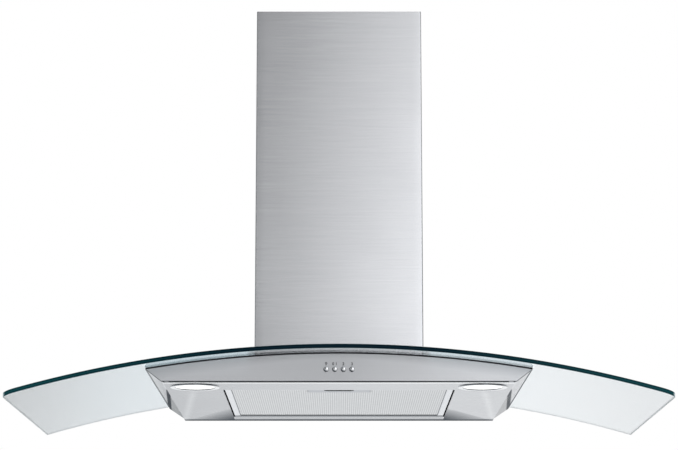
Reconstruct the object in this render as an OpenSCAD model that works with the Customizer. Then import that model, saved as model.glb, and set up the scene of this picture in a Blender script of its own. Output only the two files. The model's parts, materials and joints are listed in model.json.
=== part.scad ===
// Wall mount range hood with an arched glass canopy and a telescoping chimney.
// X runs across the hood, Y runs into the wall and Z runs up.
// The origin is the centre of the wall screw pattern, on the face of the wall.
// Inside the modules, heights are counted from the flat underside of the body.

/* [Glass canopy] */
// Width of the glass from end to end
glass_w = 898; // [800:2:1000]
// Depth of the glass from its back edge to its front edge
glass_d = 488; // [480:1:520]
// Thickness of the glass
glass_t = 6; // [5:0.5:8]
// Radius of the arched top face of the glass
glass_r = 1600; // [1400:10:2400]
// Height of the glass underside above the body underside, on the centre line
glass_rise = 42.3; // [42:0.1:50]
// Radius of the two front corners, seen from above
glass_corner_r = 18; // [8:1:40]
// Gap between the back edge of the glass and the wall
glass_wall_gap = 2; // [1:0.5:6]
// How far the glass reaches in front of the body
glass_overhang = 36; // [20:1:50]
// Gap all round the blower box in the notch of the glass
notch_gap = 7; // [5:0.5:9]
// Radius of the inner corners of the notch
notch_corner_r = 12; // [6:1:20]

/* [Body] */
// Width of the underside outside the lamps
side_margin = 8; // [7:0.5:16]
// How far each slanted side leans out between the underside and the arch
body_flare = 24; // [20:1:28]
// Thickness of the steel sheet
sheet = 1; // [0.8:0.1:1.2]
// Thickness of the rubber strip under the glass
gasket_t = 1.7; // [1.4:0.1:2.2]
// Width of the rubber strip under the glass
gasket_w = 12; // [8:1:16]
// Height of the dark joint between the fascia and the underside panel
panel_joint = 1.2; // [0.8:0.1:1.6]
// Depth of the fold along the top of the fascia
flange_w = 10; // [8:1:12]
// Gap left between pieces that seat on each other
fit_gap = 0.3; // [0.2:0.05:0.4]

/* [Filter] */
// Width of the filter cassette
filter_w = 317; // [300:1:320]
// Thickness of the filter cassette
filter_t = 9; // [8.4:0.2:11]
// Gap round the filter in its opening
filter_gap = 1.5; // [1:0.25:2.5]
// Distance from the front of the body to the filter opening
filter_setback = 75; // [72:1:90]
// Distance from the wall to the filter opening
filter_rear = 43; // [40:1:60]
// Width of the frame strips at the two sides
filter_side_w = 9; // [7:0.5:12]
// Width of the frame strip at the front
filter_front_w = 2; // [1.5:0.25:3]
// Width of the frame strip at the back
filter_back_w = 23.5; // [16:0.5:30]
// Number of knitted sheets inside the cassette
core_layers = 3; // [2:1:4]
// Width of the handle plate
handle_w = 85; // [70:1:100]
// Depth of the handle plate
handle_d = 29; // [27:1:36]
// Length of the finger slot in the handle plate
slot_w = 41.5; // [36:0.5:50]
// Travel of the latch
latch_travel = 5; // [4:0.5:6]

/* [Lamps] */
// Gap between a lamp cup and the flange of the filter opening
lamp_gap = 2; // [1:0.5:6]
// Distance of the lamp centres behind the front of the body
lamp_setback = 39; // [37:0.5:41]
// Width of the lamp ring round the lens
ring_w = 6.25; // [5.5:0.25:7]
// How far the ring stands below the panel
ring_proud = 2; // [1:0.25:3]
// Diameter of the lens
lens_d = 55; // [50:0.5:56]
// Height of the reflector cup above the underside
cup_h = 17; // [16:0.5:18]

/* [Controls] */
// Diameter of a push button
button_d = 6.5; // [5.5:0.1:7.5]
// Distance between neighbouring buttons
button_pitch = 11.6; // [10:0.1:13]
// Height of the buttons above the underside
button_z = 18.6; // [16:0.1:20]
// How far a button stands out of the fascia
button_proud = 3.2; // [3:0.1:4]
// Travel of a button
button_travel = 3; // [2:0.1:3]

/* [Chimney] */
// Gap between the connection box and the side of the lower cover
cover_side_room = 9.4; // [8:0.2:20]
// Distance from the front of the blower box to the front of the lower cover
cover_room = 25.7; // [12:0.1:40]
// Height of the lower cover above the top of the glass
chimney_h = 535.4; // [500:0.1:650]
// Height of the bottom edge of the upper cover above the glass
upper_foot = 33.4; // [20:0.2:100]
// Gap between the two covers
cover_gap = 1.5; // [1.4:0.1:2]
// Width of the flanges along the back edges of the covers
cover_flange_w = 16; // [10:1:18]

/* [Blower] */
// Width of the blower box
box_w = 176; // [170:1:180]
// Gap between the scroll casing and the front of the blower box
box_front_room = 19.3; // [10:0.1:30]
// Gap between the widest turn of the scroll and the back of the blower box
box_back_room = 4.7; // [3:0.1:10]
// Height of the top of the blower box above the underside
box_top = 300; // [296:1:310]
// Height of the fan axis above the underside
fan_z = 160; // [158:1:166]
// Outer radius of the fan wheel
fan_r = 64; // [60:0.5:65]
// Half the width of the fan wheel
fan_half_w = 34; // [30:0.5:35]
// Number of fan blades
fan_blades = 32; // [24:1:40]
// Smallest gap between the fan wheel and the scroll casing
tongue_gap = 4; // [3:0.5:6]
// Growth of the scroll radius over its whole turn
scroll_growth = 24; // [18:1:26]
// Wall thickness of the scroll casing
scroll_wall = 2; // [1.5:0.25:2.5]
// Radius of the motor
motor_r = 36; // [30:0.5:38]
// Radius of the motor shaft
shaft_r = 4; // [3:0.25:4]

/* [Outlet] */
// Outer radius of the duct collar
collar_r = 75; // [60:1:76]
// Wall thickness of the duct collar
collar_wall = 2.5; // [2:0.25:3]
// Height of the duct collar above its flange
collar_h = 70; // [50:1:80]
// Radius of the pin that carries the damper flaps
damper_pin_r = 1.5; // [1:0.25:1.5]

/* [Wall fixing] */
// Height of the wall screw line above the underside
screw_height = 250; // [240:1:260]
// Distance between the wall screws across the hood
wall_hole_dx = 150; // [146:1:152]
// Distance between the wall screws up the wall
wall_hole_dz = 30; // [24:1:36]
// Radius of the wall screw holes
wall_hole_r = 4; // [3:0.25:4.5]
// Thickness of the wall bracket
bracket_t = 2; // [1.5:0.25:3]

/* [Hidden] */

steel = [0.78, 0.79, 0.80];
bright_steel = [0.86, 0.87, 0.88];
zinc = [0.66, 0.68, 0.70];
chrome = [0.90, 0.91, 0.93];
dark_plastic = [0.18, 0.19, 0.20];
pale_plastic = [0.82, 0.82, 0.80];
rubber = [0.07, 0.07, 0.08];
clear_glass = [0.62, 0.78, 0.80, 0.35];
lamp_glass = [1.0, 0.99, 0.95];

arch_fn = 720;
round_fn = 72;
small_fn = 32;
cut = 1;

// Sizes that follow from each other, from the inside out
open_half_w = filter_w / 2 + filter_gap;
panel_hole_r = lens_d / 2 + 2.5;
cup_rim_r = panel_hole_r + 3;
lamp_x = open_half_w + sheet + lamp_gap + cup_rim_r;
body_bottom_w = 2 * (lamp_x + cup_rim_r + side_margin);
body_top_w = body_bottom_w + 2 * body_flare;
box_back = -(bracket_t + fit_gap);
scroll_r = fan_r + tongue_gap;
fan_y = sheet + box_back_room + scroll_r + scroll_growth - box_back;
box_front = -(fan_y + scroll_r + scroll_growth + scroll_wall + box_front_room + sheet);
conn_t = 22;
conn_wall = 2;
conn_x = -(box_w / 2 + fit_gap);
chimney_w = 2 * (conn_t + fit_gap + conn_wall + cover_side_room - conn_x);
chimney_d = cover_room - box_front;

// The arch: every curved face of the glass, the rubber and the body shares one centre line.
arch_z = glass_rise + glass_t - glass_r;
gasket_top_r = glass_r - glass_t - fit_gap;
gasket_low_r = gasket_top_r - gasket_t;
body_r = gasket_low_r - fit_gap;
function arc_z(r, x) = arch_z + sqrt(r * r - x * x);

// The body
body_d = glass_wall_gap + glass_d - glass_overhang;
side_h = arc_z(body_r, body_top_w / 2);
side_slope = (body_top_w - body_bottom_w) / 2 / side_h;
side_low_z = sheet + fit_gap;
fascia_low_z = sheet + panel_joint;
shell_front = -body_d + sheet + fit_gap;
function body_half_w(z) = body_bottom_w / 2 + side_slope * z;

// The hooks that hang the blower box on the wall bracket
hook_x = 38;
hook_w = 16;
hook_t = 2;
hook_z = screw_height + 8;
hook_h = 15;
hook_arm_t = 3;
driver_gap = 5;

// The blower box and what it passes through
box_low_z = 34;
roof_gap = 2;
roof_cut_z = 20;
notch_half_w = box_w / 2 + notch_gap;
notch_front = box_front - notch_gap;
clamp_low_r = glass_r + fit_gap;
clamp_t = 2;
clamp_back = -6;
ear_y = [-60, -20];
ear_h = 26;
glass_screw_x = notch_half_w + 8;
glass_screw_in = [15, 25];
glass_screw_y = [box_front + glass_screw_in[0], box_back - glass_screw_in[1]];
glass_screw_r = 2.5;
glass_hole_r = 4;

// The filter and its opening
open_front = -body_d + filter_setback;
open_back = -filter_rear;
open_flange_h = 12;
filter_front = open_front + filter_gap;
filter_back = open_back - filter_gap;
filter_low_z = 0.2;
filter_top_z = filter_low_z + filter_t;
lip_t = 1;
mesh_t = 0.8;
mesh_z = filter_low_z + lip_t + 0.2;
core_z = mesh_z + mesh_t + 0.2;
core_top_z = filter_top_z - lip_t - 0.2;
groove_depth = 5;
fill_half_w = filter_w / 2 - filter_side_w + groove_depth - fit_gap;
fill_front = filter_front + filter_front_w + fit_gap;
fill_back = filter_back - filter_back_w + groove_depth - fit_gap;
handle_front = filter_front + filter_front_w + fit_gap;
handle_back = handle_front + handle_d;
handle_wall = 1;
handle_z = 0.6;
latch_z = 3.6;
latch_t = 2;
latch_w = 36;
latch_nose_w = 16;
latch_front = handle_front + handle_wall + 2;
latch_spring_l = 12;
latch_d = handle_d - 2 * handle_wall - 2 - latch_spring_l;
latch_reach = latch_travel - filter_gap - 1;
latch_hole_gap = 0.3;
finger_lip = 1.4;
slot_front = latch_front - 0.8;
slot_d = 11;
tongue_x = 110;
tongue_w = 14;
tongue_reach = 8.5;
tongue_t = 1.6;
tongue_z = 4.4;

// The lamps
lamp_y = -body_d + lamp_setback;
socket_y = 9;
socket_l = 10;
bulb_z = 9;

// The controls
button_r = button_d / 2;
function button_x(i) = (i - 1.5) * button_pitch;
button_hole_r = button_r + 0.2;
button_back = -body_d + 4;
spring_l = 9;
block_front = button_back + spring_l;
block_d = 18;
block_half_w = 1.5 * button_pitch + 9;
block_half_h = 8.5;
stem_r = 1.6;
stem_in = 8;
spring_out_r = 2.6;
spring_in_r = 1.9;
button_names = ["button_lamp", "button_speed_1", "button_speed_2", "button_speed_3"];
button_spring_names = ["button_spring_lamp", "button_spring_1", "button_spring_2", "button_spring_3"];

// The chimney
chimney_top = glass_rise + glass_t + chimney_h;
upper_side = chimney_w / 2 - sheet - cover_gap;
upper_front = -chimney_d + sheet + cover_gap;
upper_top = chimney_top - 2;
upper_back = -(glass_wall_gap + sheet + cover_gap);
upper_low = glass_rise + glass_t + upper_foot;
cover_strip = 50;
bracket_h = 20;
bracket_arm_t = 1.5;
top_bracket_z = upper_top - 10 - bracket_h;
bracket_side = upper_side - sheet - fit_gap;
bracket_arm = 30;
cover_screw_r = 2;

// The fan
fan_axis = [0, -fan_y, fan_z];
fan_inner_r = fan_r - 11;
fan_ring_t = 2;
scroll_side = fan_half_w + 4;
inlet_r = fan_inner_r - 1;
scroll_start = 95;
scroll_turn = 275;
neck_top = box_top - sheet - fit_gap;
neck_front = -fan_y - scroll_r - scroll_growth;
neck_back = -fan_y + scroll_r * cos(scroll_start);
boss_r = 5;
boss_angles = [60, -5, -70, -135];
screw_r = 1.7;
screw_hole_r = 1.9;
motor_front = -6;
motor_back = -58;
mount_x = -scroll_side - scroll_wall - 6;
mount_ring_w = 3.5;
shaft_tail = 4;
shaft_nose = 12;
arm_angles = [30, 150, 270];
foot_r = inlet_r + 8;
bearing_w = 7;
bearing_r = 9;

// The duct collar
collar_y = box_front / 2 + box_back / 2 - 10;
collar_inner_r = collar_r - collar_wall;
collar_low_z = box_top + fit_gap;
collar_flange_t = 2.5;
collar_flange_half = box_w / 2 - 2;
pin_z = collar_low_z + collar_flange_t + 6;
knuckle_r = damper_pin_r + 1.5;
flap_r = collar_inner_r - 1;
flap_t = 1.2;
flap_z = pin_z - knuckle_r + 0.4;
ledge_w = 2.5;
outer_knuckles = [[-58, -22], [22, 58]];
inner_knuckles = [[-21, 21]];

// The electrics
conn_y = [-195, -125];
conn_z = [200, 270];
gland_x = conn_x - conn_t / 2;
gland_y = -150;
lead_hole_y = -140;
gland_bore_r = 4.5;
gland_neck_r = 6;
cap_r = 13;
cap_y = -60;
cap_z = 200.3;
cap_h = 55;
trafo_w = 48;
trafo_mid_x = -lamp_x - 8;
trafo_x = [trafo_mid_x - trafo_w / 2, trafo_mid_x + trafo_w / 2];
trafo_y = [-150, -60];
trafo_h = 15.7;
lead_r = 1.5;
lead_pass = [-132, 178.5];
lead_pass_r = 4;
lead_floor = sheet + fit_gap + lead_r;

// The leads, each as the points that it is clipped along
left_lead = [
    [-lamp_x, trafo_y[0] - fit_gap, bulb_z], [-lamp_x, -160, bulb_z], [-199, -180, 6], [-203, -205, 3.4],
    [-206, -240, lead_floor], [-206, -290, lead_floor], [-203, -330, 3.4], [-199, -355, 6],
    [-lamp_x, -375, bulb_z], [-lamp_x, lamp_y + socket_y + socket_l + fit_gap, bulb_z]
];
right_lead = [
    [-lamp_x, trafo_y[1] + fit_gap, bulb_z], [-lamp_x, -52, bulb_z], [-195, -42, 6.4], [-189, -31, 3.6],
    [-176, -24, lead_floor], [-150, -21, lead_floor], [-75, -21, lead_floor], [0, -21, lead_floor],
    [75, -21, lead_floor], [150, -21, lead_floor], [176, -24, lead_floor], [193, -34, lead_floor],
    [203, -52, lead_floor], [206, -80, lead_floor], [206, -150, lead_floor], [206, -220, lead_floor],
    [206, -290, lead_floor], [203, -330, 3.4], [199, -355, 6], [lamp_x, -375, bulb_z],
    [lamp_x, lamp_y + socket_y + socket_l + fit_gap, bulb_z]
];
blower_lead = [
    [gland_x, lead_hole_y, conn_z[0] - fit_gap], [gland_x, lead_hole_y, 192], [-97.5, -138.5, 186],
    [-93.5, -135.5, 181.5], [-box_w / 2, lead_pass[0], lead_pass[1]], [-80, -127, 175.5],
    [-72, -122, 173], [-65, -118, 172], [motor_back - fit_gap, -118, 172]
];

// Placing and shaping helpers
module in_hood() {
    translate([0, 0, -screw_height]) children();
}

module across_depth(y_back, y_front) {
    translate([0, y_back, 0]) rotate([90, 0, 0]) linear_extrude(y_back - y_front) children();
}

module across_width(x_left, x_right) {
    translate([x_left, 0, 0]) rotate([90, 0, 90]) linear_extrude(x_right - x_left) children();
}

module block(low, high) {
    translate(low) cube(high - low);
}

module both_sides() {
    children();
    mirror([1, 0, 0]) children();
}

module rod_x(r, x_left, x_right, fn = round_fn) {
    translate([x_left, 0, 0]) rotate([0, 90, 0]) cylinder(h = x_right - x_left, r = r, $fn = fn);
}

module rod_y(r, y_front, y_back, fn = round_fn) {
    translate([0, y_back, 0]) rotate([90, 0, 0]) cylinder(h = y_back - y_front, r = r, $fn = fn);
}

module rod_z(r, z_low, z_high, fn = round_fn) {
    translate([0, 0, z_low]) cylinder(h = z_high - z_low, r = r, $fn = fn);
}

module tube_z(r_out, r_in, z_low, z_high, fn = round_fn) {
    difference() {
        rod_z(r_out, z_low, z_high, fn);
        rod_z(r_in, z_low - cut, z_high + cut, fn);
    }
}

// A strip of the arch between two radii
module arch_band(r_out, r_in, half_w) {
    intersection() {
        translate([0, arch_z]) difference() {
            circle(r_out, $fn = arch_fn);
            circle(r_in, $fn = arch_fn);
        }
        translate([-half_w, arch_z]) square([2 * half_w, r_out + cut]);
    }
}

// The cross-section of the body: slanted sides under the arch
module body_outline(inset, z_low) {
    edge = inset * sqrt(1 + side_slope * side_slope);
    intersection() {
        polygon([
            [edge - body_half_w(z_low), z_low],
            [body_half_w(z_low) - edge, z_low],
            [body_half_w(glass_rise) - edge, glass_rise],
            [edge - body_half_w(glass_rise), glass_rise]
        ]);
        translate([0, arch_z]) circle(body_r - inset, $fn = arch_fn);
    }
}

module round_rod_path(path, r, up) {
    sides = 8;
    last = len(path) - 1;
    ahead = [for (i = [0:last]) path[min(i + 1, last)] - path[max(i - 1, 0)]];
    along = [for (a = ahead) a / norm(a)];
    side = [for (a = along) cross(a, up) / norm(cross(a, up))];
    rise = [for (i = [0:last]) cross(side[i], along[i])];
    ring = [for (k = [0:sides - 1]) [cos(360 * k / sides), sin(360 * k / sides)]];
    spots = [for (i = [0:last]) for (c = ring) path[i] + r * (c[0] * side[i] + c[1] * rise[i])];
    skin = [
        for (i = [0:last - 1]) for (k = [0:sides - 1])
            let (next = (k + 1) % sides)
                [i * sides + k, i * sides + next, (i + 1) * sides + next, (i + 1) * sides + k]
    ];
    near_end = [[for (k = [sides - 1:-1:0]) k]];
    far_end = [[for (k = [0:sides - 1]) last * sides + k]];
    polyhedron(spots, concat(skin, near_end, far_end), convexity = 4);
}

// Body
module glass_screw_spots() {
    both_sides() for (y = glass_screw_y) translate([glass_screw_x, y, 0]) children();
}

module body_shell() {
    flange_x = lamp_x + cup_rim_r + fit_gap;
    color(steel) in_hood() difference() {
        union() {
            across_depth(0, shell_front) difference() {
                body_outline(0, side_low_z);
                body_outline(sheet, side_low_z - cut);
            }
            across_depth(0, -sheet) body_outline(0, side_low_z);
            both_sides() block(
                [flange_x, shell_front, side_low_z],
                [body_half_w(side_low_z) - sheet / 2, 0, side_low_z + sheet]
            );
        }
        block(
            [-box_w / 2 - roof_gap, box_front - roof_gap, roof_cut_z],
            [box_w / 2 + roof_gap, -sheet, glass_rise]
        );
        glass_screw_spots() rod_z(glass_screw_r + 0.3, roof_cut_z, glass_rise, small_fn);
    }
}

module fascia() {
    fold_in = 14;
    low_fold_d = lamp_setback - cup_rim_r - fit_gap;
    color(steel) in_hood() difference() {
        union() {
            across_depth(-body_d + sheet, -body_d) body_outline(0, fascia_low_z);
            across_depth(-body_d + flange_w, -body_d) arch_band(
                body_r - sheet - fit_gap, body_r - 2 * sheet - fit_gap, body_top_w / 2 - fold_in
            );
            block(
                [-body_bottom_w / 2 + fold_in, -body_d, fascia_low_z],
                [body_bottom_w / 2 - fold_in, -body_d + low_fold_d, fascia_low_z + sheet]
            );
        }
        for (i = [0:3]) translate([button_x(i), 0, button_z])
            rod_y(button_hole_r, -body_d - cut, -body_d + sheet + cut, small_fn);
    }
}

module bottom_panel() {
    half_w = body_half_w(0);
    slot_gap = 0.8;
    color(steel) in_hood() difference() {
        union() {
            block([-half_w, -body_d, 0], [half_w, -fit_gap, sheet]);
            block(
                [-open_half_w - sheet, open_front - sheet, 0],
                [open_half_w + sheet, open_back + sheet, open_flange_h]
            );
        }
        block([-open_half_w, open_front, -cut], [open_half_w, open_back, open_flange_h + cut]);
        for (side = [-1, 1]) translate([side * lamp_x, lamp_y, 0])
            rod_z(panel_hole_r, -cut, sheet + cut);
        block(
            [-latch_nose_w / 2 - slot_gap, open_front - sheet - cut, latch_z - slot_gap],
            [latch_nose_w / 2 + slot_gap, open_front + cut, latch_z + latch_t + slot_gap]
        );
        both_sides() block(
            [tongue_x - tongue_w / 2 - slot_gap, open_back - cut, sheet + slot_gap],
            [tongue_x + tongue_w / 2 + slot_gap, open_back + sheet + cut, open_flange_h + cut]
        );
    }
}

module glass_gasket() {
    half_w = body_top_w / 2;
    color(rubber) in_hood() difference() {
        across_depth(-glass_wall_gap, -body_d) arch_band(gasket_top_r, gasket_low_r, half_w);
        block([gasket_w - half_w, -body_d + gasket_w, 0], [half_w - gasket_w, -gasket_w, glass_rise]);
        block([-notch_half_w, -gasket_w - cut, 0], [notch_half_w, 0, glass_rise]);
    }
}

// The glass seen from above: round front corners and a notch at the back
module glass_plan() {
    front = -glass_wall_gap - glass_d;
    half_w = glass_w / 2;
    difference() {
        union() {
            translate([-half_w, front + glass_corner_r]) square([glass_w, glass_d - glass_corner_r]);
            translate([glass_corner_r - half_w, front]) square([glass_w - 2 * glass_corner_r, glass_d / 2]);
            for (side = [-1, 1]) translate([side * (half_w - glass_corner_r), front + glass_corner_r])
                circle(glass_corner_r, $fn = round_fn);
        }
        translate([-notch_half_w, notch_front + notch_corner_r])
            square([2 * notch_half_w, -notch_front]);
        translate([notch_corner_r - notch_half_w, notch_front])
            square([2 * (notch_half_w - notch_corner_r), -notch_front]);
        for (side = [-1, 1])
            translate([side * (notch_half_w - notch_corner_r), notch_front + notch_corner_r])
                circle(notch_corner_r, $fn = round_fn);
        for (side = [-1, 1]) for (y = glass_screw_y) translate([side * glass_screw_x, y])
            circle(glass_hole_r, $fn = small_fn);
    }
}

module glass_canopy() {
    low_z = arc_z(glass_r - glass_t, glass_w / 2) - cut;
    color(clear_glass) in_hood() intersection() {
        across_depth(0, -glass_d - 2 * glass_wall_gap - cut)
            arch_band(glass_r, glass_r - glass_t, glass_w / 2 + cut);
        translate([0, 0, low_z]) linear_extrude(glass_rise + glass_t + cut - low_z) glass_plan();
    }
}

// The frame clamps the glass to the body, and its two ears hold the chimney
module clamp_frame() {
    ear_x = chimney_w / 2 - sheet - fit_gap;
    ear_top = glass_rise + glass_t + ear_h;
    color(zinc) in_hood() difference() {
        union() {
            across_depth(clamp_back, sheet + fit_gap - chimney_d)
                arch_band(clamp_low_r + clamp_t, clamp_low_r, ear_x);
            both_sides() block(
                [ear_x - sheet, ear_y[0], arc_z(clamp_low_r + clamp_t, ear_x) - clamp_t / 2],
                [ear_x, ear_y[1], ear_top]
            );
        }
        block(
            [-box_w / 2 - fit_gap, box_front - fit_gap, 0],
            [box_w / 2 + fit_gap, 0, ear_top]
        );
        glass_screw_spots() rod_z(glass_screw_r + 0.3, roof_cut_z, ear_top, small_fn);
    }
}

module glass_screws() {
    head_r = 4.5;
    head_h = 3;
    seat = 0.1;
    head_z = arc_z(clamp_low_r + clamp_t, glass_screw_x - head_r) + seat;
    nut_z = arc_z(body_r - sheet, glass_screw_x + head_r) - seat;
    glass_screw_spots() {
        rod_z(head_r, head_z, head_z + head_h, small_fn);
        rod_z(glass_screw_r, nut_z - head_h - 1, head_z + cut, small_fn);
        rod_z(head_r, nut_z - head_h, nut_z, 6);
    }
}

// Wall fixing
module wall_hole_spots() {
    for (side = [-1, 1]) for (level = [-1, 1])
        translate([side * wall_hole_dx / 2, 0, screw_height + level * wall_hole_dz / 2]) children();
}

module wall_bracket() {
    border = 15;
    half_w = wall_hole_dx / 2 + border;
    half_h = wall_hole_dz / 2 + border;
    hook_front = box_back - sheet - 2 * fit_gap - hook_t;
    color(zinc) in_hood() difference() {
        union() {
            block([-half_w, -bracket_t, screw_height - half_h], [half_w, 0, screw_height + half_h]);
            both_sides() block(
                [hook_x - hook_w / 2, hook_front, hook_z],
                [hook_x + hook_w / 2, -cut, hook_z + hook_arm_t]
            );
            both_sides() block(
                [hook_x - hook_w / 2, hook_front, hook_z],
                [hook_x + hook_w / 2, hook_front + hook_t, hook_z + hook_h]
            );
        }
        wall_hole_spots() rod_y(wall_hole_r, -bracket_t - cut, cut, small_fn);
    }
}

// Chimney covers: a channel open to the wall, with narrow flanges along its back edges
module cover(side_x, front_y, back_y, low_z, top_z) {
    difference() {
        block([-side_x, front_y, low_z], [side_x, back_y, top_z]);
        block(
            [sheet - side_x, front_y + sheet, low_z - cut],
            [side_x - sheet, back_y + cut, top_z + cut]
        );
    }
    both_sides() block(
        [side_x - cover_flange_w, back_y - sheet, low_z],
        [side_x - sheet / 2, back_y, top_z - cover_strip]
    );
}

module lower_chimney() {
    color(steel) in_hood() difference() {
        cover(chimney_w / 2, -chimney_d, -glass_wall_gap, roof_cut_z, chimney_top);
        across_depth(cut, -chimney_d - cut) translate([0, arch_z])
            circle(glass_r + fit_gap, $fn = arch_fn);
    }
}

module cover_screw_spots() {
    translate([0, -20, top_bracket_z + bracket_h / 2]) children();
}

module upper_chimney() {
    color(steel) in_hood() difference() {
        cover(upper_side, upper_front, upper_back, upper_low, upper_top);
        cover_screw_spots() rod_x(cover_screw_r + 0.2, -upper_side - cut, upper_side + cut, small_fn);
    }
}

module chimney_bracket() {
    color(zinc) in_hood() difference() {
        union() {
            block(
                [-bracket_side, -bracket_arm_t, top_bracket_z],
                [bracket_side, 0, top_bracket_z + bracket_h]
            );
            both_sides() block(
                [bracket_side - bracket_arm_t, -bracket_arm, top_bracket_z],
                [bracket_side, 0, top_bracket_z + bracket_h]
            );
        }
        for (side = [-1, 1])
            translate([side * wall_hole_dx / 2, 0, top_bracket_z + bracket_h / 2])
                rod_y(wall_hole_r, -bracket_arm_t - cut, cut, small_fn);
        cover_screw_spots()
            rod_x(cover_screw_r + 0.2, -bracket_side - cut, bracket_side + cut, small_fn);
    }
}

module chimney_screws() {
    head_r = 3.5;
    head_h = 0.9;
    tip = 6;
    head_x = upper_side + 0.1;
    color(zinc) in_hood() both_sides() cover_screw_spots() {
        rod_x(head_r, head_x, head_x + head_h, small_fn);
        rod_x(cover_screw_r, bracket_side - tip, head_x + head_h / 2, small_fn);
    }
}

// Blower
module collar_screw_spots() {
    reach = collar_flange_half - 6;
    for (side = [-1, 1]) for (end = [-1, 1])
        translate([side * reach, collar_y + end * reach, 0]) children();
}

module blower_box() {
    half_w = box_w / 2;
    slot_low_z = hook_z - 20;
    slot_top_z = hook_z + hook_arm_t + fit_gap;
    shelf_t = 1.5;
    color(zinc) in_hood() difference() {
        union() {
            difference() {
                block([-half_w, box_front, box_low_z], [half_w, box_back, box_top]);
                block(
                    [sheet - half_w, box_front + sheet, box_low_z - cut],
                    [half_w - sheet, box_back - sheet, box_top - sheet]
                );
            }
            block(
                [gland_x - cap_r, cap_y - cap_r, cap_z - shelf_t],
                [-half_w + sheet / 2, cap_y + cap_r, cap_z - fit_gap]
            );
        }
        block(
            [-scroll_side, neck_front + fit_gap, box_top - sheet - cut],
            [scroll_side, neck_back, box_top + cut]
        );
        collar_screw_spots() rod_z(screw_hole_r, box_top - sheet - cut, box_top + cut, small_fn);
        wall_hole_spots()
            rod_y(wall_hole_r + driver_gap, box_back - sheet - cut, box_back + cut, small_fn);
        both_sides() block(
            [hook_x - hook_w / 2 - 1, box_back - sheet - cut, slot_low_z],
            [hook_x + hook_w / 2 + 1, box_back + cut, slot_top_z]
        );
        translate([0, lead_pass[0], lead_pass[1]])
            rod_x(lead_pass_r, -half_w - cut, sheet + cut - half_w, small_fn);
    }
}

// The spiral outline of the scroll and its neck, in the plane across the fan axis
module scroll_outline(inset) {
    steps = 44;
    spiral = [
        for (i = [0:steps]) let (
            a = scroll_start - scroll_turn * i / steps,
            r = scroll_r + scroll_growth * i / steps - inset
        ) [-fan_y + r * cos(a), fan_z + r * sin(a)]
    ];
    polygon(spiral);
    translate([neck_front + inset, fan_z])
        square([neck_back - neck_front - 2 * inset, neck_top - fan_z]);
}

module scroll_boss_spots() {
    for (a = boss_angles) let (
        inner = scroll_r + scroll_growth * (scroll_start - a) / scroll_turn,
        r = inner + scroll_wall + boss_r - 2
    ) translate([0, -fan_y + r * cos(a), fan_z + r * sin(a)]) children();
}

module mount_foot_spots() {
    for (a = arm_angles) translate([0, -fan_y + foot_r * cos(a), fan_z + foot_r * sin(a)]) children();
}

// One half of the casing, from the split plane out to its inlet side
module scroll_half() {
    outer = scroll_side + scroll_wall;
    mouth_h = 10;
    difference() {
        union() {
            difference() {
                across_width(fit_gap / 2, outer) scroll_outline(-scroll_wall);
                across_width(-cut, scroll_side) scroll_outline(0);
                across_width(-cut, scroll_side) translate([neck_front, neck_top - mouth_h / 2])
                    square([neck_back - neck_front, mouth_h]);
            }
            scroll_boss_spots() rod_x(boss_r, fit_gap / 2, outer, small_fn);
        }
        translate(fan_axis) rod_x(inlet_r, 0, outer + cut);
        scroll_boss_spots() rod_x(screw_hole_r, -cut, outer + cut, small_fn);
    }
}

module scroll_left() {
    color(dark_plastic) in_hood() difference() {
        mirror([1, 0, 0]) scroll_half();
        mount_foot_spots() rod_x(screw_hole_r, mount_x, 0, small_fn);
    }
}

module scroll_right() {
    color(dark_plastic) in_hood() scroll_half();
}

module blower_screws() {
    head_r = 3.4;
    head_h = 2.4;
    end_gap = 4;
    casing_x = -scroll_side - scroll_wall;
    head_z = collar_low_z + collar_flange_t + 0.1;
    scroll_boss_spots() {
        rod_x(head_r, casing_x - fit_gap - head_h, casing_x - fit_gap, small_fn);
        rod_x(screw_r, casing_x - fit_gap - cut, -casing_x - end_gap, small_fn);
    }
    mount_foot_spots() {
        rod_x(head_r, mount_x - fit_gap - head_h, mount_x - fit_gap, small_fn);
        rod_x(screw_r, mount_x - fit_gap - cut, -scroll_side - 0.2, small_fn);
    }
    collar_screw_spots() {
        rod_z(head_r, head_z, head_z + head_h, small_fn);
        rod_z(screw_r, box_top - sheet - end_gap, head_z + cut, small_fn);
    }
}

module fixing_screws() {
    color(zinc) in_hood() {
        glass_screws();
        blower_screws();
    }
}

module motor() {
    color(zinc) in_hood() translate(fan_axis) difference() {
        rod_x(motor_r, motor_back, motor_front);
        rod_x(bearing_r + 0.05, motor_back - cut, motor_front + cut);
    }
}

module motor_mount() {
    plate_t = 3;
    arm_half_w = 4;
    foot_h = -scroll_side - scroll_wall - fit_gap;
    color(zinc) in_hood() difference() {
        union() {
            translate(fan_axis) {
                rod_x(motor_r + mount_ring_w, mount_x, mount_x + plate_t);
                for (a = arm_angles) rotate([a, 0, 0])
                    block([mount_x, 0, -arm_half_w], [mount_x + plate_t, foot_r, arm_half_w]);
            }
            mount_foot_spots() rod_x(boss_r, mount_x, foot_h, small_fn);
        }
        translate(fan_axis) rod_x(motor_r + fit_gap, mount_x - cut, mount_x + plate_t + cut);
        mount_foot_spots() rod_x(screw_hole_r, mount_x - cut, foot_h + cut, small_fn);
    }
}

module motor_shaft() {
    color(chrome) in_hood() translate(fan_axis)
        rod_x(shaft_r, motor_back - shaft_tail, shaft_nose);
}

module motor_bearings() {
    places = [motor_back + 1, motor_front - 1 - bearing_w];
    color(chrome) in_hood() translate(fan_axis) for (x = places) difference() {
        rod_x(bearing_r, x, x + bearing_w);
        rod_x(shaft_r + 0.05, x - cut, x + bearing_w + cut);
    }
}

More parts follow.
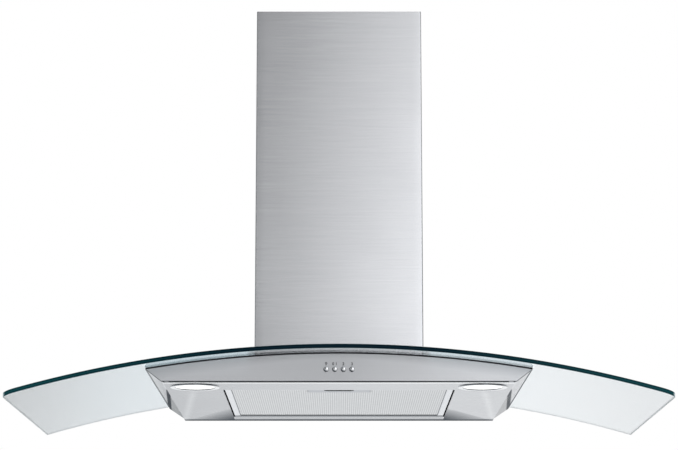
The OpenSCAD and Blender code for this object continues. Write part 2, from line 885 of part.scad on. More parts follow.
// A sheet metal wheel: a disc on the shaft carries the blades, and a ring closes each end
module impeller() {
    hub_r = 9;
    hub_back = motor_front + 2;
    blade_t = 1;
    blade_lean = 25;
    blade_half_l = fan_half_w - fan_ring_t;
    disc_half_t = 1;
    disc_r = fan_inner_r - blade_t * sin(blade_lean) - 0.1;
    color(zinc) in_hood() translate(fan_axis) {
        difference() {
            union() {
                rod_x(disc_r, -disc_half_t, disc_half_t);
                rod_x(hub_r, hub_back, shaft_nose);
            }
            rod_x(shaft_r + 0.05, hub_back - cut, shaft_nose + cut);
        }
        for (i = [0:fan_blades - 1]) rotate([i * 360 / fan_blades, 0, 0])
            translate([-blade_half_l, fan_inner_r, 0]) rotate([blade_lean, 0, 0])
                cube([2 * blade_half_l, fan_r - fan_inner_r - 0.6, blade_t]);
    }
}

module impeller_rings() {
    color(zinc) in_hood() translate(fan_axis) both_sides() difference() {
        rod_x(fan_r, fan_half_w - fan_ring_t, fan_half_w);
        rod_x(fan_inner_r + 2, fan_half_w - fan_ring_t - cut, fan_half_w + cut);
    }
}

// Outlet
module outlet_collar() {
    flange_top = collar_low_z + collar_flange_t;
    ledge_t = 2;
    ledge_top = flap_z - fit_gap;
    color(dark_plastic) in_hood() difference() {
        union() {
            block(
                [-collar_flange_half, collar_y - collar_flange_half, collar_low_z],
                [collar_flange_half, collar_y + collar_flange_half, flange_top]
            );
            translate([0, collar_y, 0]) {
                tube_z(collar_r, collar_inner_r, collar_low_z, flange_top + collar_h);
                tube_z(collar_inner_r + 0.5, collar_inner_r - ledge_w, ledge_top - ledge_t, ledge_top);
            }
        }
        translate([0, collar_y, 0]) {
            rod_z(collar_inner_r - ledge_w, collar_low_z - cut, flange_top + cut);
            translate([0, 0, pin_z])
                rod_x(damper_pin_r + 0.05, -collar_r - cut, collar_r + cut, small_fn);
        }
        collar_screw_spots() rod_z(screw_hole_r, collar_low_z - cut, flange_top + cut, small_fn);
    }
}

// One half disc that swings on the pin, drawn for the side towards the wall
module damper_flap(knuckles) {
    plate_y = knuckle_r + 1;
    difference() {
        union() {
            intersection() {
                rod_z(flap_r, flap_z, flap_z + flap_t);
                union() {
                    block([-flap_r, plate_y, 0], [flap_r, flap_r, pin_z]);
                    for (k = knuckles) block([k[0], 0, 0], [k[1], plate_y + cut, pin_z]);
                }
            }
            for (k = knuckles) translate([0, 0, pin_z]) rod_x(knuckle_r, k[0], k[1], small_fn);
        }
        translate([0, 0, pin_z]) rod_x(damper_pin_r + 0.05, -flap_r - cut, flap_r + cut, small_fn);
    }
}

module damper_flap_front() {
    color(pale_plastic) in_hood() translate([0, collar_y, 0]) mirror([0, 1, 0])
        damper_flap(outer_knuckles);
}

module damper_flap_rear() {
    color(pale_plastic) in_hood() translate([0, collar_y, 0]) damper_flap(inner_knuckles);
}

module damper_pin() {
    color(chrome) in_hood() translate([0, collar_y, pin_z])
        rod_x(damper_pin_r, -collar_r, collar_r, small_fn);
}

// Electrics
module connection_box() {
    color(pale_plastic) in_hood() difference() {
        block([conn_x - conn_t, conn_y[0], conn_z[0]], [conn_x, conn_y[1], conn_z[1]]);
        block(
            [conn_x - conn_t - cut, conn_y[0] + conn_wall, conn_z[0] + conn_wall],
            [conn_x - conn_wall, conn_y[1] - conn_wall, conn_z[1] - conn_wall]
        );
        translate([gland_x, gland_y, 0])
            rod_z(gland_neck_r + fit_gap, conn_z[1] - conn_wall - cut, conn_z[1] + cut, small_fn);
        translate([gland_x, lead_hole_y, 0])
            rod_z(2 * lead_r, conn_z[0] - cut, conn_z[0] + conn_wall + cut, small_fn);
    }
}

module connection_cover() {
    color(pale_plastic) in_hood() block(
        [conn_x - conn_t - fit_gap - conn_wall, conn_y[0], conn_z[0]],
        [conn_x - conn_t - fit_gap, conn_y[1], conn_z[1]]
    );
}

module terminal_block() {
    way = 10;
    ways = 3;
    height = 18;
    depth = 12;
    wire_r = 1.6;
    back_x = conn_x - conn_wall - fit_gap;
    y = conn_y[0] + 13;
    z = conn_z[0] + 25;
    color(bright_steel) in_hood() difference() {
        block([back_x - depth, y, z], [back_x, y + ways * way, z + height]);
        for (i = [0:ways - 1]) translate([back_x - depth / 2, y + (i + 0.5) * way, 0])
            rod_z(wire_r, z - cut, z + height + cut, small_fn);
    }
}

module cable_gland() {
    foot = 4;
    hex_r = 9.5;
    hex_h = 6;
    nut_r = 7.5;
    height = 20;
    color(dark_plastic) in_hood() translate([gland_x, gland_y, conn_z[1]]) difference() {
        union() {
            rod_z(gland_neck_r, -foot, fit_gap + cut, small_fn);
            rod_z(hex_r, fit_gap, hex_h, 6);
            rod_z(nut_r, hex_h - cut, height, small_fn);
        }
        rod_z(gland_bore_r, -foot - cut, height + cut, small_fn);
    }
}

module capacitor() {
    color(pale_plastic) in_hood() translate([conn_x - cap_r - fit_gap, cap_y, 0])
        rod_z(cap_r, cap_z, cap_z + cap_h);
}

module lamp_transformer() {
    low_z = sheet + fit_gap;
    color(dark_plastic) in_hood()
        block([trafo_x[0], trafo_y[0], low_z], [trafo_x[1], trafo_y[1], low_z + trafo_h]);
}

module lamp_lead_left() {
    color(rubber) in_hood() round_rod_path(left_lead, lead_r, [0, 0, 1]);
}

module lamp_lead_right() {
    color(rubber) in_hood() round_rod_path(right_lead, lead_r, [0, 0, 1]);
}

module motor_lead() {
    color(rubber) in_hood() round_rod_path(blower_lead, lead_r, [0.6, -0.8, 0]);
}

// Lamps
module at_lamp(side) {
    in_hood() translate([side * lamp_x, lamp_y, 0]) children();
}

module lamp_ring(side) {
    lens_r = lens_d / 2;
    ring_r = lens_r + ring_w;
    edge_z = -ring_proud * 0.7;
    color(chrome) at_lamp(side) rotate_extrude($fn = round_fn) polygon([
        [lens_r, edge_z], [lens_r + 1, -ring_proud], [ring_r - 2, -ring_proud],
        [ring_r - 0.6, edge_z], [ring_r, 0], [panel_hole_r - fit_gap, 0],
        [panel_hole_r - fit_gap, sheet], [lens_r, sheet]
    ]);
}

module lamp_lens(side) {
    color(lamp_glass) at_lamp(side) rod_z(lens_d / 2 - 0.2, -ring_proud * 0.6, sheet);
}

module lamp_cup(side) {
    rim_z = sheet + fit_gap;
    rim_top = rim_z + 0.8;
    wall = 1;
    top_r = 23;
    low_r = panel_hole_r - 1.5;
    color(bright_steel) at_lamp(side) difference() {
        rotate_extrude($fn = round_fn) polygon([
            [low_r, rim_z], [cup_rim_r, rim_z], [cup_rim_r, rim_top], [low_r + wall, rim_top],
            [top_r + wall, cup_h], [0, cup_h], [0, cup_h - wall], [top_r, cup_h - wall]
        ]);
        translate([0, 0, bulb_z]) rod_y(2 * lead_r, socket_y + cut, cup_rim_r, small_fn);
    }
}

module lamp_bulb(side) {
    bulb_r = 4.5;
    bulb_front = -9;
    color(lamp_glass) at_lamp(side) translate([0, 0, bulb_z]) {
        rod_y(bulb_r, bulb_front, socket_y - fit_gap, small_fn);
        translate([0, bulb_front, 0]) sphere(bulb_r, $fn = small_fn);
    }
}

module lamp_socket(side) {
    half_w = 6;
    half_h = 4.5;
    color(pale_plastic) at_lamp(side)
        block([-half_w, socket_y, bulb_z - half_h], [half_w, socket_y + socket_l, bulb_z + half_h]);
}

// Controls
module button(i) {
    dome_h = 1.6;
    dome_r = button_r * 1.6;
    cap_front = -body_d - button_proud + dome_h;
    color(chrome) in_hood() translate([button_x(i), 0, button_z]) {
        rod_y(button_r, cap_front, button_back, small_fn);
        intersection() {
            rod_y(button_r, cap_front - dome_h, cap_front + cut, small_fn);
            translate([0, cap_front - dome_h + dome_r, 0]) sphere(dome_r, $fn = 64);
        }
        rod_y(stem_r, button_back - cut, block_front + stem_in, small_fn);
    }
}

module button_spring(i) {
    color(bright_steel) in_hood() translate([button_x(i), 0, button_z]) difference() {
        rod_y(spring_out_r, button_back + 0.1, block_front - 0.1, small_fn);
        rod_y(spring_in_r, button_back - cut, block_front + cut, small_fn);
    }
}

module switch_block() {
    stem_end = block_front + stem_in + button_travel + 2;
    color(dark_plastic) in_hood() difference() {
        block(
            [-block_half_w, block_front, button_z - block_half_h],
            [block_half_w, block_front + block_d, button_z + block_half_h]
        );
        for (i = [0:3]) translate([button_x(i), 0, button_z])
            rod_y(stem_r + 0.08, block_front - cut, stem_end, small_fn);
    }
}

module switch_frame() {
    wall = 2;
    half_w = block_half_w + fit_gap + wall;
    back = block_front + block_d + fit_gap;
    low_z = button_z - block_half_h;
    high_z = button_z + block_half_h;
    color(pale_plastic) in_hood() {
        both_sides() block(
            [half_w - wall, -body_d + sheet + fit_gap, low_z], [half_w, back + wall, high_z]
        );
        block([-half_w, back, low_z], [half_w, back + wall, high_z]);
    }
}

// Filter
module latch_hole(front, back) {
    half_w = latch_nose_w / 2 + latch_hole_gap;
    block(
        [-half_w, front - cut, latch_z - latch_hole_gap],
        [half_w, back + cut, latch_z + latch_t + latch_hole_gap]
    );
}

module filter_frame() {
    half_w = filter_w / 2;
    groove_x = half_w - filter_side_w + groove_depth;
    color(bright_steel) in_hood() difference() {
        union() {
            block([-half_w, filter_front, filter_low_z], [half_w, filter_back, filter_top_z]);
            both_sides() block(
                [tongue_x - tongue_w / 2, filter_back - cut, tongue_z],
                [tongue_x + tongue_w / 2, filter_back + tongue_reach, tongue_z + tongue_t]
            );
        }
        block(
            [filter_side_w - half_w, filter_front + filter_front_w, -cut],
            [half_w - filter_side_w, filter_back - filter_back_w, filter_top_z + cut]
        );
        block(
            [-groove_x, filter_front + filter_front_w, filter_low_z + lip_t],
            [groove_x, filter_back - filter_back_w + groove_depth, filter_top_z - lip_t]
        );
        latch_hole(filter_front, filter_front + filter_front_w);
    }
}

// The plan of what fills the frame, cut away round the handle
module filter_fill_plan() {
    difference() {
        translate([-fill_half_w, fill_front]) square([2 * fill_half_w, fill_back - fill_front]);
        translate([-handle_w / 2 - fit_gap, fill_front - cut])
            square([handle_w + 2 * fit_gap, handle_d + fit_gap + cut]);
    }
}

module filter_mesh() {
    strands = 16;
    strand_w = 2.4;
    depth = fill_back - fill_front;
    step_x = (2 * fill_half_w - strand_w) / strands;
    step_y = (depth - strand_w) / strands;
    color(bright_steel) in_hood() translate([0, 0, mesh_z]) linear_extrude(mesh_t) intersection() {
        filter_fill_plan();
        translate([-fill_half_w, fill_front]) {
            for (i = [0:strands]) translate([i * step_x, 0]) square([strand_w, depth]);
            for (i = [0:strands]) translate([0, i * step_y]) square([2 * fill_half_w, strand_w]);
            translate([fill_half_w - handle_w / 2 - strand_w, 0])
                square([handle_w + 2 * strand_w, handle_d + strand_w]);
        }
    }
}

// The grease trap inside the cassette: thin sheets of knitted aluminium, held at their edges
module filter_core() {
    layer_t = 0.5;
    step = (core_top_z - core_z - layer_t) / (core_layers - 1);
    color(zinc) in_hood() for (i = [0:core_layers - 1]) translate([0, 0, core_z + i * step])
        linear_extrude(layer_t) filter_fill_plan();
}

module filter_handle() {
    half_w = handle_w / 2;
    color(bright_steel) in_hood() difference() {
        block([-half_w, handle_front, handle_z], [half_w, handle_back, core_top_z]);
        block(
            [handle_wall - half_w, handle_front + handle_wall, handle_z + handle_wall],
            [half_w - handle_wall, handle_back - handle_wall, core_top_z + cut]
        );
        block(
            [-slot_w / 2, slot_front, -cut],
            [slot_w / 2, slot_front + slot_d, handle_z + handle_wall + cut]
        );
        latch_hole(handle_front, handle_front + handle_wall);
    }
}

module filter_latch() {
    nose_front = open_front - latch_reach;
    top_z = latch_z + latch_t;
    lip_z = handle_z + handle_wall + fit_gap;
    color(dark_plastic) in_hood() {
        block([-latch_w / 2, latch_front, latch_z], [latch_w / 2, latch_front + latch_d, top_z]);
        block([-latch_nose_w / 2, nose_front, latch_z], [latch_nose_w / 2, latch_front + cut, top_z]);
        block([-latch_w / 2, latch_front, lip_z], [latch_w / 2, latch_front + finger_lip, latch_z + cut]);
    }
}

module latch_spring() {
    spring_r = 1.6;
    wall = 0.6;
    color(bright_steel) in_hood() translate([0, 0, latch_z + latch_t / 2]) difference() {
        rod_y(spring_r, latch_front + latch_d + 0.1, handle_back - handle_wall - 0.1, small_fn);
        rod_y(spring_r - wall, latch_front, handle_back, small_fn);
    }
}

body_shell();
fascia();
bottom_panel();
glass_gasket();
glass_canopy();
clamp_frame();
fixing_screws();
wall_bracket();
lower_chimney();
upper_chimney();
chimney_bracket();
chimney_screws();
blower_box();
scroll_left();
scroll_right();
motor();
motor_mount();
motor_shaft();
motor_bearings();
impeller();
impeller_rings();
outlet_collar();
damper_flap_front();
damper_flap_rear();
damper_pin();
connection_box();
connection_cover();
terminal_block();
cable_gland();
capacitor();
lamp_transformer();
lamp_lead_left();
lamp_lead_right();
motor_lead();
lamp_ring(-1);  // lamp_ring_left
lamp_ring(1);  // lamp_ring_right
lamp_lens(-1);  // lamp_lens_left
lamp_lens(1);  // lamp_lens_right
lamp_cup(-1);  // lamp_cup_left
lamp_cup(1);  // lamp_cup_right
lamp_bulb(-1);  // lamp_bulb_left
lamp_bulb(1);  // lamp_bulb_right
lamp_socket(-1);  // lamp_socket_left
lamp_socket(1);  // lamp_socket_right
for (i = [0:3]) button(i);
for (i = [0:3]) button_spring(i);
switch_block();
switch_frame();
filter_frame();
filter_mesh();
filter_core();
filter_handle();
filter_latch();
latch_spring();
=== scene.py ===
import json
import math

import bmesh
import bpy
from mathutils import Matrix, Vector
from mathutils.geometry import delaunay_2d_cdt


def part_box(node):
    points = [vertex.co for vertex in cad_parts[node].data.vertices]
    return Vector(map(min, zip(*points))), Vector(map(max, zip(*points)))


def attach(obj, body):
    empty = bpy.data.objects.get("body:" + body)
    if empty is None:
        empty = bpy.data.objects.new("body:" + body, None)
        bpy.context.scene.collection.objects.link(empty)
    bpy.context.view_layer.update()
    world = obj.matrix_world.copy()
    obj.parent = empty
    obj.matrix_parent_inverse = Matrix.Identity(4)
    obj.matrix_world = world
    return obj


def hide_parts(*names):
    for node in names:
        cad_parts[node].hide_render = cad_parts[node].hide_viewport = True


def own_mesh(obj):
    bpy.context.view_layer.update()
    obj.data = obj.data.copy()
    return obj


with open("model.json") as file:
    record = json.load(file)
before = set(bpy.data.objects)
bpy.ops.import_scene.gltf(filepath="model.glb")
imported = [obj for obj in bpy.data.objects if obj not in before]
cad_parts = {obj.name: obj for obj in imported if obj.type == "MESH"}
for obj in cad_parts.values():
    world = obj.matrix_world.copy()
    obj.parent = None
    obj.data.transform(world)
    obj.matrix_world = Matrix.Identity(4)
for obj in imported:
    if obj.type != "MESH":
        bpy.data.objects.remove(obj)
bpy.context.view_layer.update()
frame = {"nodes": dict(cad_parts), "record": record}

# The looks of a wall mount range hood, built round its CAD frame. Lengths are in metres, in the
# row frame: X across, the wall in the plane Y = 0, the front at -Y. Heights with names that start
# with H_ are measured up from the hood's underside, and up() takes them into the row frame.

MM = 0.001


def low(node):
    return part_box(node)[0]


def high(node):
    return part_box(node)[1]


# ---- sizes read from the frame

SHEET = 1 * MM
FIT = 0.3 * MM
UNDERSIDE = low("bottom_panel").z
FRONT = low("bottom_panel").y
BOTTOM_HALF = high("bottom_panel").x
TOP_HALF = high("glass_gasket").x
CHIMNEY_HALF = high("lower_chimney").x


def up(h):
    return UNDERSIDE + h


GLASS_T = 6 * MM
GLASS_R = 1600 * MM
GASKET_T = 1.7 * MM
GLASS_HALF = high("glass_canopy").x
GLASS_FRONT = low("glass_canopy").y
GLASS_BACK = high("glass_canopy").y
ARCH_Z = high("glass_canopy").z - GLASS_R
BODY_R = GLASS_R - GLASS_T - 2 * FIT - GASKET_T
NOTCH_GAP = 7 * MM
NOTCH_HALF = high("blower_box").x + NOTCH_GAP
NOTCH_FRONT = low("blower_box").y - NOTCH_GAP


def arch(r, x):
    """Height of the arch of radius r at x."""
    return ARCH_Z + math.sqrt(r * r - x * x)


H_CORNER = arch(BODY_R, TOP_HALF) - UNDERSIDE
SIDE_SLOPE = (TOP_HALF - BOTTOM_HALF) / H_CORNER
H_SHELL = SHEET + FIT
H_FASCIA = 2.2 * MM

OPEN_GAP = 1.5 * MM
OPEN_HALF = high("filter_frame").x + OPEN_GAP
OPEN_FRONT = low("filter_frame").y - OPEN_GAP
OPEN_BACK = -43 * MM
H_FLANGE = 12 * MM

LAMP_X = (low("lamp_lens_right").x + high("lamp_lens_right").x) / 2
LAMP_Y = (low("lamp_lens_right").y + high("lamp_lens_right").y) / 2
LENS_R = 27.5 * MM
RING_R = high("lamp_ring_right").x - LAMP_X
LAMP_HOLE_R = LENS_R + 2.5 * MM
RING_PROUD = 2 * MM

KEYS = ["button_lamp", "button_speed_1", "button_speed_2", "button_speed_3"]
KEY_SPRINGS = ["button_spring_lamp", "button_spring_1", "button_spring_2", "button_spring_3"]
KEY_BODIES = ["key_lamp", "key_1", "key_2", "key_3"]
KEY_R = 3.25 * MM
H_KEY = 18.6 * MM

MESH_LOW = low("filter_mesh")
MESH_HIGH = high("filter_mesh")
HANDLE_LOW = low("filter_handle")
HANDLE_HIGH = high("filter_handle")

# ---- node materials


def add_node(tree, kind, inputs=None, **settings):
    """Adds a shader node. Each input is given a value, or the output that it is joined to."""
    made = tree.nodes.new("ShaderNode" + kind)
    for key, value in settings.items():
        setattr(made, key, value)
    for key, value in (inputs or {}).items():
        if isinstance(value, bpy.types.NodeSocket):
            tree.links.new(value, made.inputs[key])
        else:
            made.inputs[key].default_value = value
    return made


class Finish:
    """One node material: adds nodes, joins them and gives their outputs back."""

    def __init__(self, name):
        self.material = bpy.data.materials.new(name)
        self.material.use_nodes = True
        self.tree = self.material.node_tree
        self.tree.nodes.clear()
        self.place = self.node("TexCoord").outputs["Object"]
        self.normal = self.node("NewGeometry").outputs["Normal"]

    def node(self, kind, inputs=None, **settings):
        return add_node(self.tree, kind, inputs, **settings)

    def axes(self):
        """The x, y and z of the place on the object."""
        return self.node("SeparateXYZ", {"Vector": self.place}).outputs

    def noise(self, scale, detail=3.0, stretch=(1, 1, 1)):
        """Noise with scale waves a metre, and stretch times as many along each axis."""
        mapped = self.node("Mapping", {"Vector": self.place, "Scale": stretch})
        made = self.node("TexNoise", {"Vector": mapped.outputs[0], "Scale": scale, "Detail": detail})
        return made.outputs["Fac"]

    def spread(self, value, to_low, to_high, from_low=0.3, from_high=0.7):
        """The value taken from one range to another, and held at its ends."""
        made = self.node("MapRange", {
            "Value": value, "From Min": from_low, "From Max": from_high,
            "To Min": to_low, "To Max": to_high,
        })
        return made.outputs[0]

    def blend(self, share, first, second):
        """The colour between first and second."""
        made = self.node("Mix", {0: share, 6: first, 7: second}, data_type="RGBA")
        return made.outputs[2]

    def math(self, operation, *values):
        """The operation on two values, or on the result so far and each further value."""
        result = values[0]
        for value in values[1:]:
            result = self.node("Math", {0: result, 1: value}, operation=operation).outputs[0]
        return result

    def times(self, *values):
        return self.math("MULTIPLY", *values)

    def minus(self, *values):
        return self.math("SUBTRACT", *values)

    def most(self, *values):
        return self.math("MAXIMUM", *values)

    def off(self, value, centre=0):
        """How far the value is from centre, either way."""
        return self.math("ABSOLUTE", self.minus(value, centre), 0)

    def arch_r(self, x, z):
        """The distance from the axis of the glass arch."""
        from_axis = self.node("CombineXYZ", {0: x, 2: self.minus(z, ARCH_Z)}).outputs[0]
        return self.node("VectorMath", {0: from_axis}, operation="LENGTH").outputs["Value"]

    def bump(self, height, strength, distance=0.1 * MM):
        made = self.node("Bump", {"Height": height, "Strength": strength, "Distance": distance})
        return made.outputs[0]

    def worn(self, cloud, fine, rough, flicker=0.04, bumps=0.1, depth=0.1 * MM):
        """Gloss that drifts with cloud and flickers with fine, and the relief of fine."""
        drift = self.spread(cloud, *rough)
        gloss = self.math("ADD", drift, self.spread(fine, -flicker, flicker))
        return {"Roughness": gloss, "Normal": self.bump(fine, bumps, depth)}

    def end(self, **inputs):
        """Adds the surface shader. Names of its inputs have _ for a space."""
        surface = self.node("BsdfPrincipled", {k.replace("_", " "): v for k, v in inputs.items()})
        self.node("OutputMaterial", {"Surface": surface.outputs[0]})
        return self.material


def rgb(r, g, b):
    return (r, g, b, 1.0)


# The brushing is turned a little, so that no face's normal is parallel to it
ALONG_X = (1, 0.02, 0)
ALONG_Y = (0.02, 1, 0)
SHADE = rgb(0.05, 0.06, 0.07)


def brushed_steel(name, brushing, stretch, shade, gloss, grain, contrast, tone=1.0, anisotropy=0.75,
                  painted_highlight=None):
    """Sheet metal brushed along one axis. shade(finish) gives the share of painted shade to mix in,
    which also dims the reflection at grazing angles through the specular tint, and the optional
    last function gives the share of painted highlight."""
    f = Finish(name)
    streaks = f.noise(1, 4, stretch)
    bands = f.noise(1, 2, tuple(s * 0.12 for s in stretch))
    cloud = f.noise(9, 2)
    mixed = f.math("ADD", f.times(streaks, 0.9), f.times(bands, 0.1))
    colour = f.blend(
        f.spread(mixed, 0.5 - contrast / 2, 0.5 + contrast / 2, 0.35, 0.65),
        rgb(0.74 * tone, 0.75 * tone, 0.775 * tone), rgb(0.83 * tone, 0.835 * tone, 0.855 * tone),
    )
    share = shade(f)
    colour = f.blend(share, colour, SHADE)
    # Painted highlight, a pale streak where the light would catch the sheet
    if painted_highlight:
        colour = f.blend(painted_highlight(f), colour, rgb(0.97, 0.975, 0.98))
    across = f.node("VectorMath", {0: f.normal, 1: brushing}, operation="CROSS_PRODUCT").outputs[0]
    return f.end(
        Base_Color=colour, Metallic=1.0, Anisotropic=anisotropy, Tangent=across,
        Roughness=f.math("ADD", f.spread(mixed, *gloss), f.spread(cloud, -0.02, 0.02)),
        Specular_Tint=f.blend(share, rgb(1, 1, 1), rgb(0.15, 0.17, 0.2)), Normal=f.bump(streaks, grain),
    )


def metal(name, dark, light, rough, scale, grain, bumps, metallic=1.0):
    """Metal with a mottled colour, fine scratches and cloudy gloss."""
    f = Finish(name)
    cloud = f.noise(scale, 4)
    return f.end(
        Base_Color=f.blend(f.spread(cloud, 0, 1), dark, light), Metallic=metallic,
        **f.worn(cloud, f.noise(grain, 3), rough, bumps=bumps),
    )


def turned_chrome(name, dark_way, share, starts, clean):
    """Chrome with painted shade on the side facing dark_way, standing in for the dark room that it
    reflects there.
    """
    f = Finish(name)
    facing = f.node("VectorMath", {0: f.normal, 1: dark_way}, operation="DOT_PRODUCT")
    facing_shade = f.spread(facing.outputs["Value"], 0, share, starts, starts + 0.5)
    cloud = f.noise(40, 4)
    dull = rgb(clean * 0.97, clean * 0.98, clean)
    colour = f.blend(f.spread(cloud, 0, 1), dull, rgb(clean * 1.03, clean * 1.035, clean * 1.05))
    return f.end(
        Base_Color=f.blend(facing_shade, colour, SHADE), Metallic=1.0,
        **f.worn(cloud, f.noise(1500, 3), (0.05, 0.11), 0.03, 0.03),
    )


def pocket_aluminium():
    """Bare aluminium plate, with painted shade round the sides of its finger slot, which lie in shadow.
    """
    f = Finish("handle_aluminium")
    cloud = f.noise(50, 4)
    x, y, z = f.axes()
    off_x = f.minus(f.off(x), SLOT_HALF)
    off_y = f.minus(f.off(y, (SLOT_FRONT + SLOT_BACK) / 2), (SLOT_BACK - SLOT_FRONT) / 2)
    in_slot = f.spread(f.most(off_x, off_y), 1, 0, 0.5 * MM, 0.7 * MM)
    slot_wall_shade = f.times(f.spread(z, 0, 1, up(0.66 * MM), up(0.76 * MM)), in_slot)
    colour = f.blend(f.spread(cloud, 0, 1), rgb(0.50, 0.51, 0.53), rgb(0.58, 0.585, 0.60))
    return f.end(
        Base_Color=f.blend(slot_wall_shade, colour, rgb(0.012, 0.025, 0.03)), Metallic=1.0,
        Specular_Tint=rgb(0.84, 0.85, 0.87), **f.worn(cloud, f.noise(900, 3), (0.28, 0.42)),
    )


def expanded_finish():
    """Bright strands, with painted shade where they twist between two bonds and turn from the light."""
    f = Finish("expanded_aluminium")
    cloud = f.noise(120, 4)
    phase = f.math("PINGPONG", f.axes()[0], CELL_W / 4)
    bright = f.blend(f.spread(cloud, 0, 1), rgb(0.73, 0.735, 0.74), rgb(0.82, 0.825, 0.83))
    twist_shade = f.spread(phase, 0.5, 0, 0, CELL_W / 4)
    return f.end(
        Base_Color=f.blend(twist_shade, bright, rgb(0.3, 0.31, 0.32)), Metallic=1.0,
        **f.worn(cloud, f.noise(1800, 3), (0.3, 0.45)),
    )


def zinc_plate():
    """Galvanised sheet with its crystals."""
    f = Finish("zinc_plate")
    cells = f.node("TexVoronoi", {"Vector": f.place, "Scale": 95.0}).outputs["Color"]
    tone = f.node("SeparateColor", {"Color": cells}).outputs[0]
    return f.end(
        Base_Color=f.blend(tone, rgb(0.50, 0.52, 0.54), rgb(0.66, 0.68, 0.70)), Metallic=0.95,
        **f.worn(tone, f.noise(700), (0.34, 0.5, 0, 1), bumps=0.12),
    )


def plastic(name, dark, light, rough, grain=1500, strength=0.25, specular=0.5):
    """Moulded plastic or rubber: fine grain, faint flow marks and handling marks."""
    f = Finish(name)
    cloud = f.noise(25, 4)
    return f.end(
        Base_Color=f.blend(f.spread(cloud, 0, 1), dark, light), Specular_IOR_Level=specular,
        **f.worn(cloud, f.noise(grain, 2), rough, 0.05, strength, 0.15 * MM),
    )


def pane_glass():
    """Clear blue-tinted glass with a trace of dust. The strip in front of the body, beside the
    chimney, has a faint painted glow, standing in for the light that it catches from the white wall."""
    f = Finish("pane_glass")
    dust = f.noise(14, 5)
    specks = f.noise(900, 1)
    x, y, _ = f.axes()
    over_body = f.spread(f.off(x), 1, 0, TOP_HALF - 3 * MM, TOP_HALF + 3 * MM)
    beside = f.spread(f.off(x), 0, 1, CHIMNEY_HALF - 3 * MM, CHIMNEY_HALF + 3 * MM)
    front_strip = f.spread(y, 0.105, 0, FRONT - 2 * MM, FRONT + 4 * MM)
    return f.end(
        Base_Color=f.blend(f.spread(dust, 0, 1), rgb(0.93, 0.968, 0.985), rgb(0.945, 0.975, 0.99)),
        Roughness=f.times(f.spread(dust, 0.0, 0.012), f.spread(specks, 0.5, 1)),
        # The emission is painted light on the strip in front of the body
        IOR=1.5, Transmission_Weight=1.0, Emission_Color=rgb(0.72, 0.92, 1.0),
        Emission_Strength=f.times(front_strip, over_body, beside),
    )


def glass_edge(name, middle, ends, line, end_line, specular):
    """The ground and polished edge: dark, greener towards the ends, with a paler line inside."""
    f = Finish(name)
    x, _, z = f.axes()
    outward = f.spread(f.off(x), 0, 1, 0.12, GLASS_HALF)
    grind = f.noise(1, 3, (1500, 1500, 40))
    off_middle = f.off(f.arch_r(x, z), GLASS_R - GLASS_T / 2)
    on_line = f.times(
        f.spread(f.noise(6, 3), 0.7, 1), f.spread(off_middle, 0.6, 0.1, 0.3 * MM, 1.3 * MM)
    )
    colour = f.blend(on_line, f.blend(outward, middle, ends), f.blend(outward, line, end_line))
    return f.end(
        Base_Color=colour, Roughness=f.spread(grind, 0.12, 0.28), Specular_IOR_Level=specular,
        Normal=f.bump(grind, 0.08),
    )


def lit_lens():
    """Frosted glass lit from behind."""
    f = Finish("lit_lens")
    fine = f.noise(1100, 2)
    frost = f.noise(60, 3)
    glow = f.blend(f.spread(frost, 0, 1), rgb(0.93, 0.93, 0.90), rgb(1.0, 0.99, 0.96))
    return f.end(
        Base_Color=rgb(0.86, 0.86, 0.84), Roughness=f.spread(fine, 0.35, 0.55),
        Emission_Color=glow, Emission_Strength=0.62, Normal=f.bump(fine, 0.2),
    )


def rear_corner_shade(f):
    """Painted shade: on the pressed rear corners beside the filter, along the rear edge and on the
    flanges, which turn away from the light, and a little more to the left, where the light falls off."""
    x, y, z = f.axes()
    aside = f.minus(f.off(x), OPEN_HALF)
    back = f.math("ADD", f.math("DIVIDE", y, FACET_L), 1)
    share = f.minus(back, f.math("DIVIDE", aside, BOTTOM_HALF - OPEN_HALF))
    creased = f.times(f.spread(share, 0, 1, -0.01, 0.02), f.spread(aside, 0, 1, -0.2 * MM, 0.2 * MM))
    corner = f.times(f.spread(share, 0.17, 0.9, 0, 0.95), creased)
    rear_line = f.spread(y, 0, 0.95, -30 * MM, -8 * MM)
    flanges = f.spread(z, 0, 0.8, up(1.4 * MM), up(2 * MM))
    return f.most(corner, f.spread(x, 0.12, 0, -BOTTOM_HALF, 0.1 * BOTTOM_HALF), rear_line, flanges)


def fascia_shade(f):
    """Painted shade, soft, under the glass and in the middle; the dark joint along the foot; dark cut
    ends.
    """
    x, _, z = f.axes()
    top = f.spread(f.arch_r(x, z), 0, 0.3, BODY_R - 16 * MM, BODY_R - 1 * MM)
    foot = f.spread(z, 0.8, 0, up(H_FASCIA + 0.6 * MM), up(H_FASCIA + 0.9 * MM))
    middle = f.spread(f.off(x), 0.2, 0, 0, 0.18)
    slant = f.minus(f.off(x), f.times(f.minus(z, UNDERSIDE), SIDE_SLOPE))
    ends = f.spread(slant, 0, 0.75, BOTTOM_HALF - 1.8 * MM, BOTTOM_HALF - 1.2 * MM)
    return f.most(top, middle, foot, ends)


def side_shade(f):
    """Painted shadow along the top of a side, under the glass, and the dark seam between its two
    facets.
    """
    x, y, z = f.axes()
    outward = f.off(x)
    top_edge_shadow = f.times(
        f.spread(z, 0, 0.85, up(H_CORNER - 4.2 * MM), up(H_CORNER - 3.4 * MM)),
        f.spread(outward, 0, 1, TOP_HALF - 4 * MM, TOP_HALF - 3 * MM),
    )
    rise = f.times(f.minus(1, f.math("DIVIDE", y, SEAM_Y)), H_CORNER - H_SHELL)
    off_seam = f.off(f.minus(z, up(H_SHELL)), rise)
    seam = f.times(
        f.spread(off_seam, 0.9, 0, 1.6 * MM, 2.4 * MM),
        f.spread(outward, 0, 1, BOTTOM_HALF - 5 * MM, BOTTOM_HALF - 4 * MM),
    )
    return f.most(top_edge_shadow, seam)


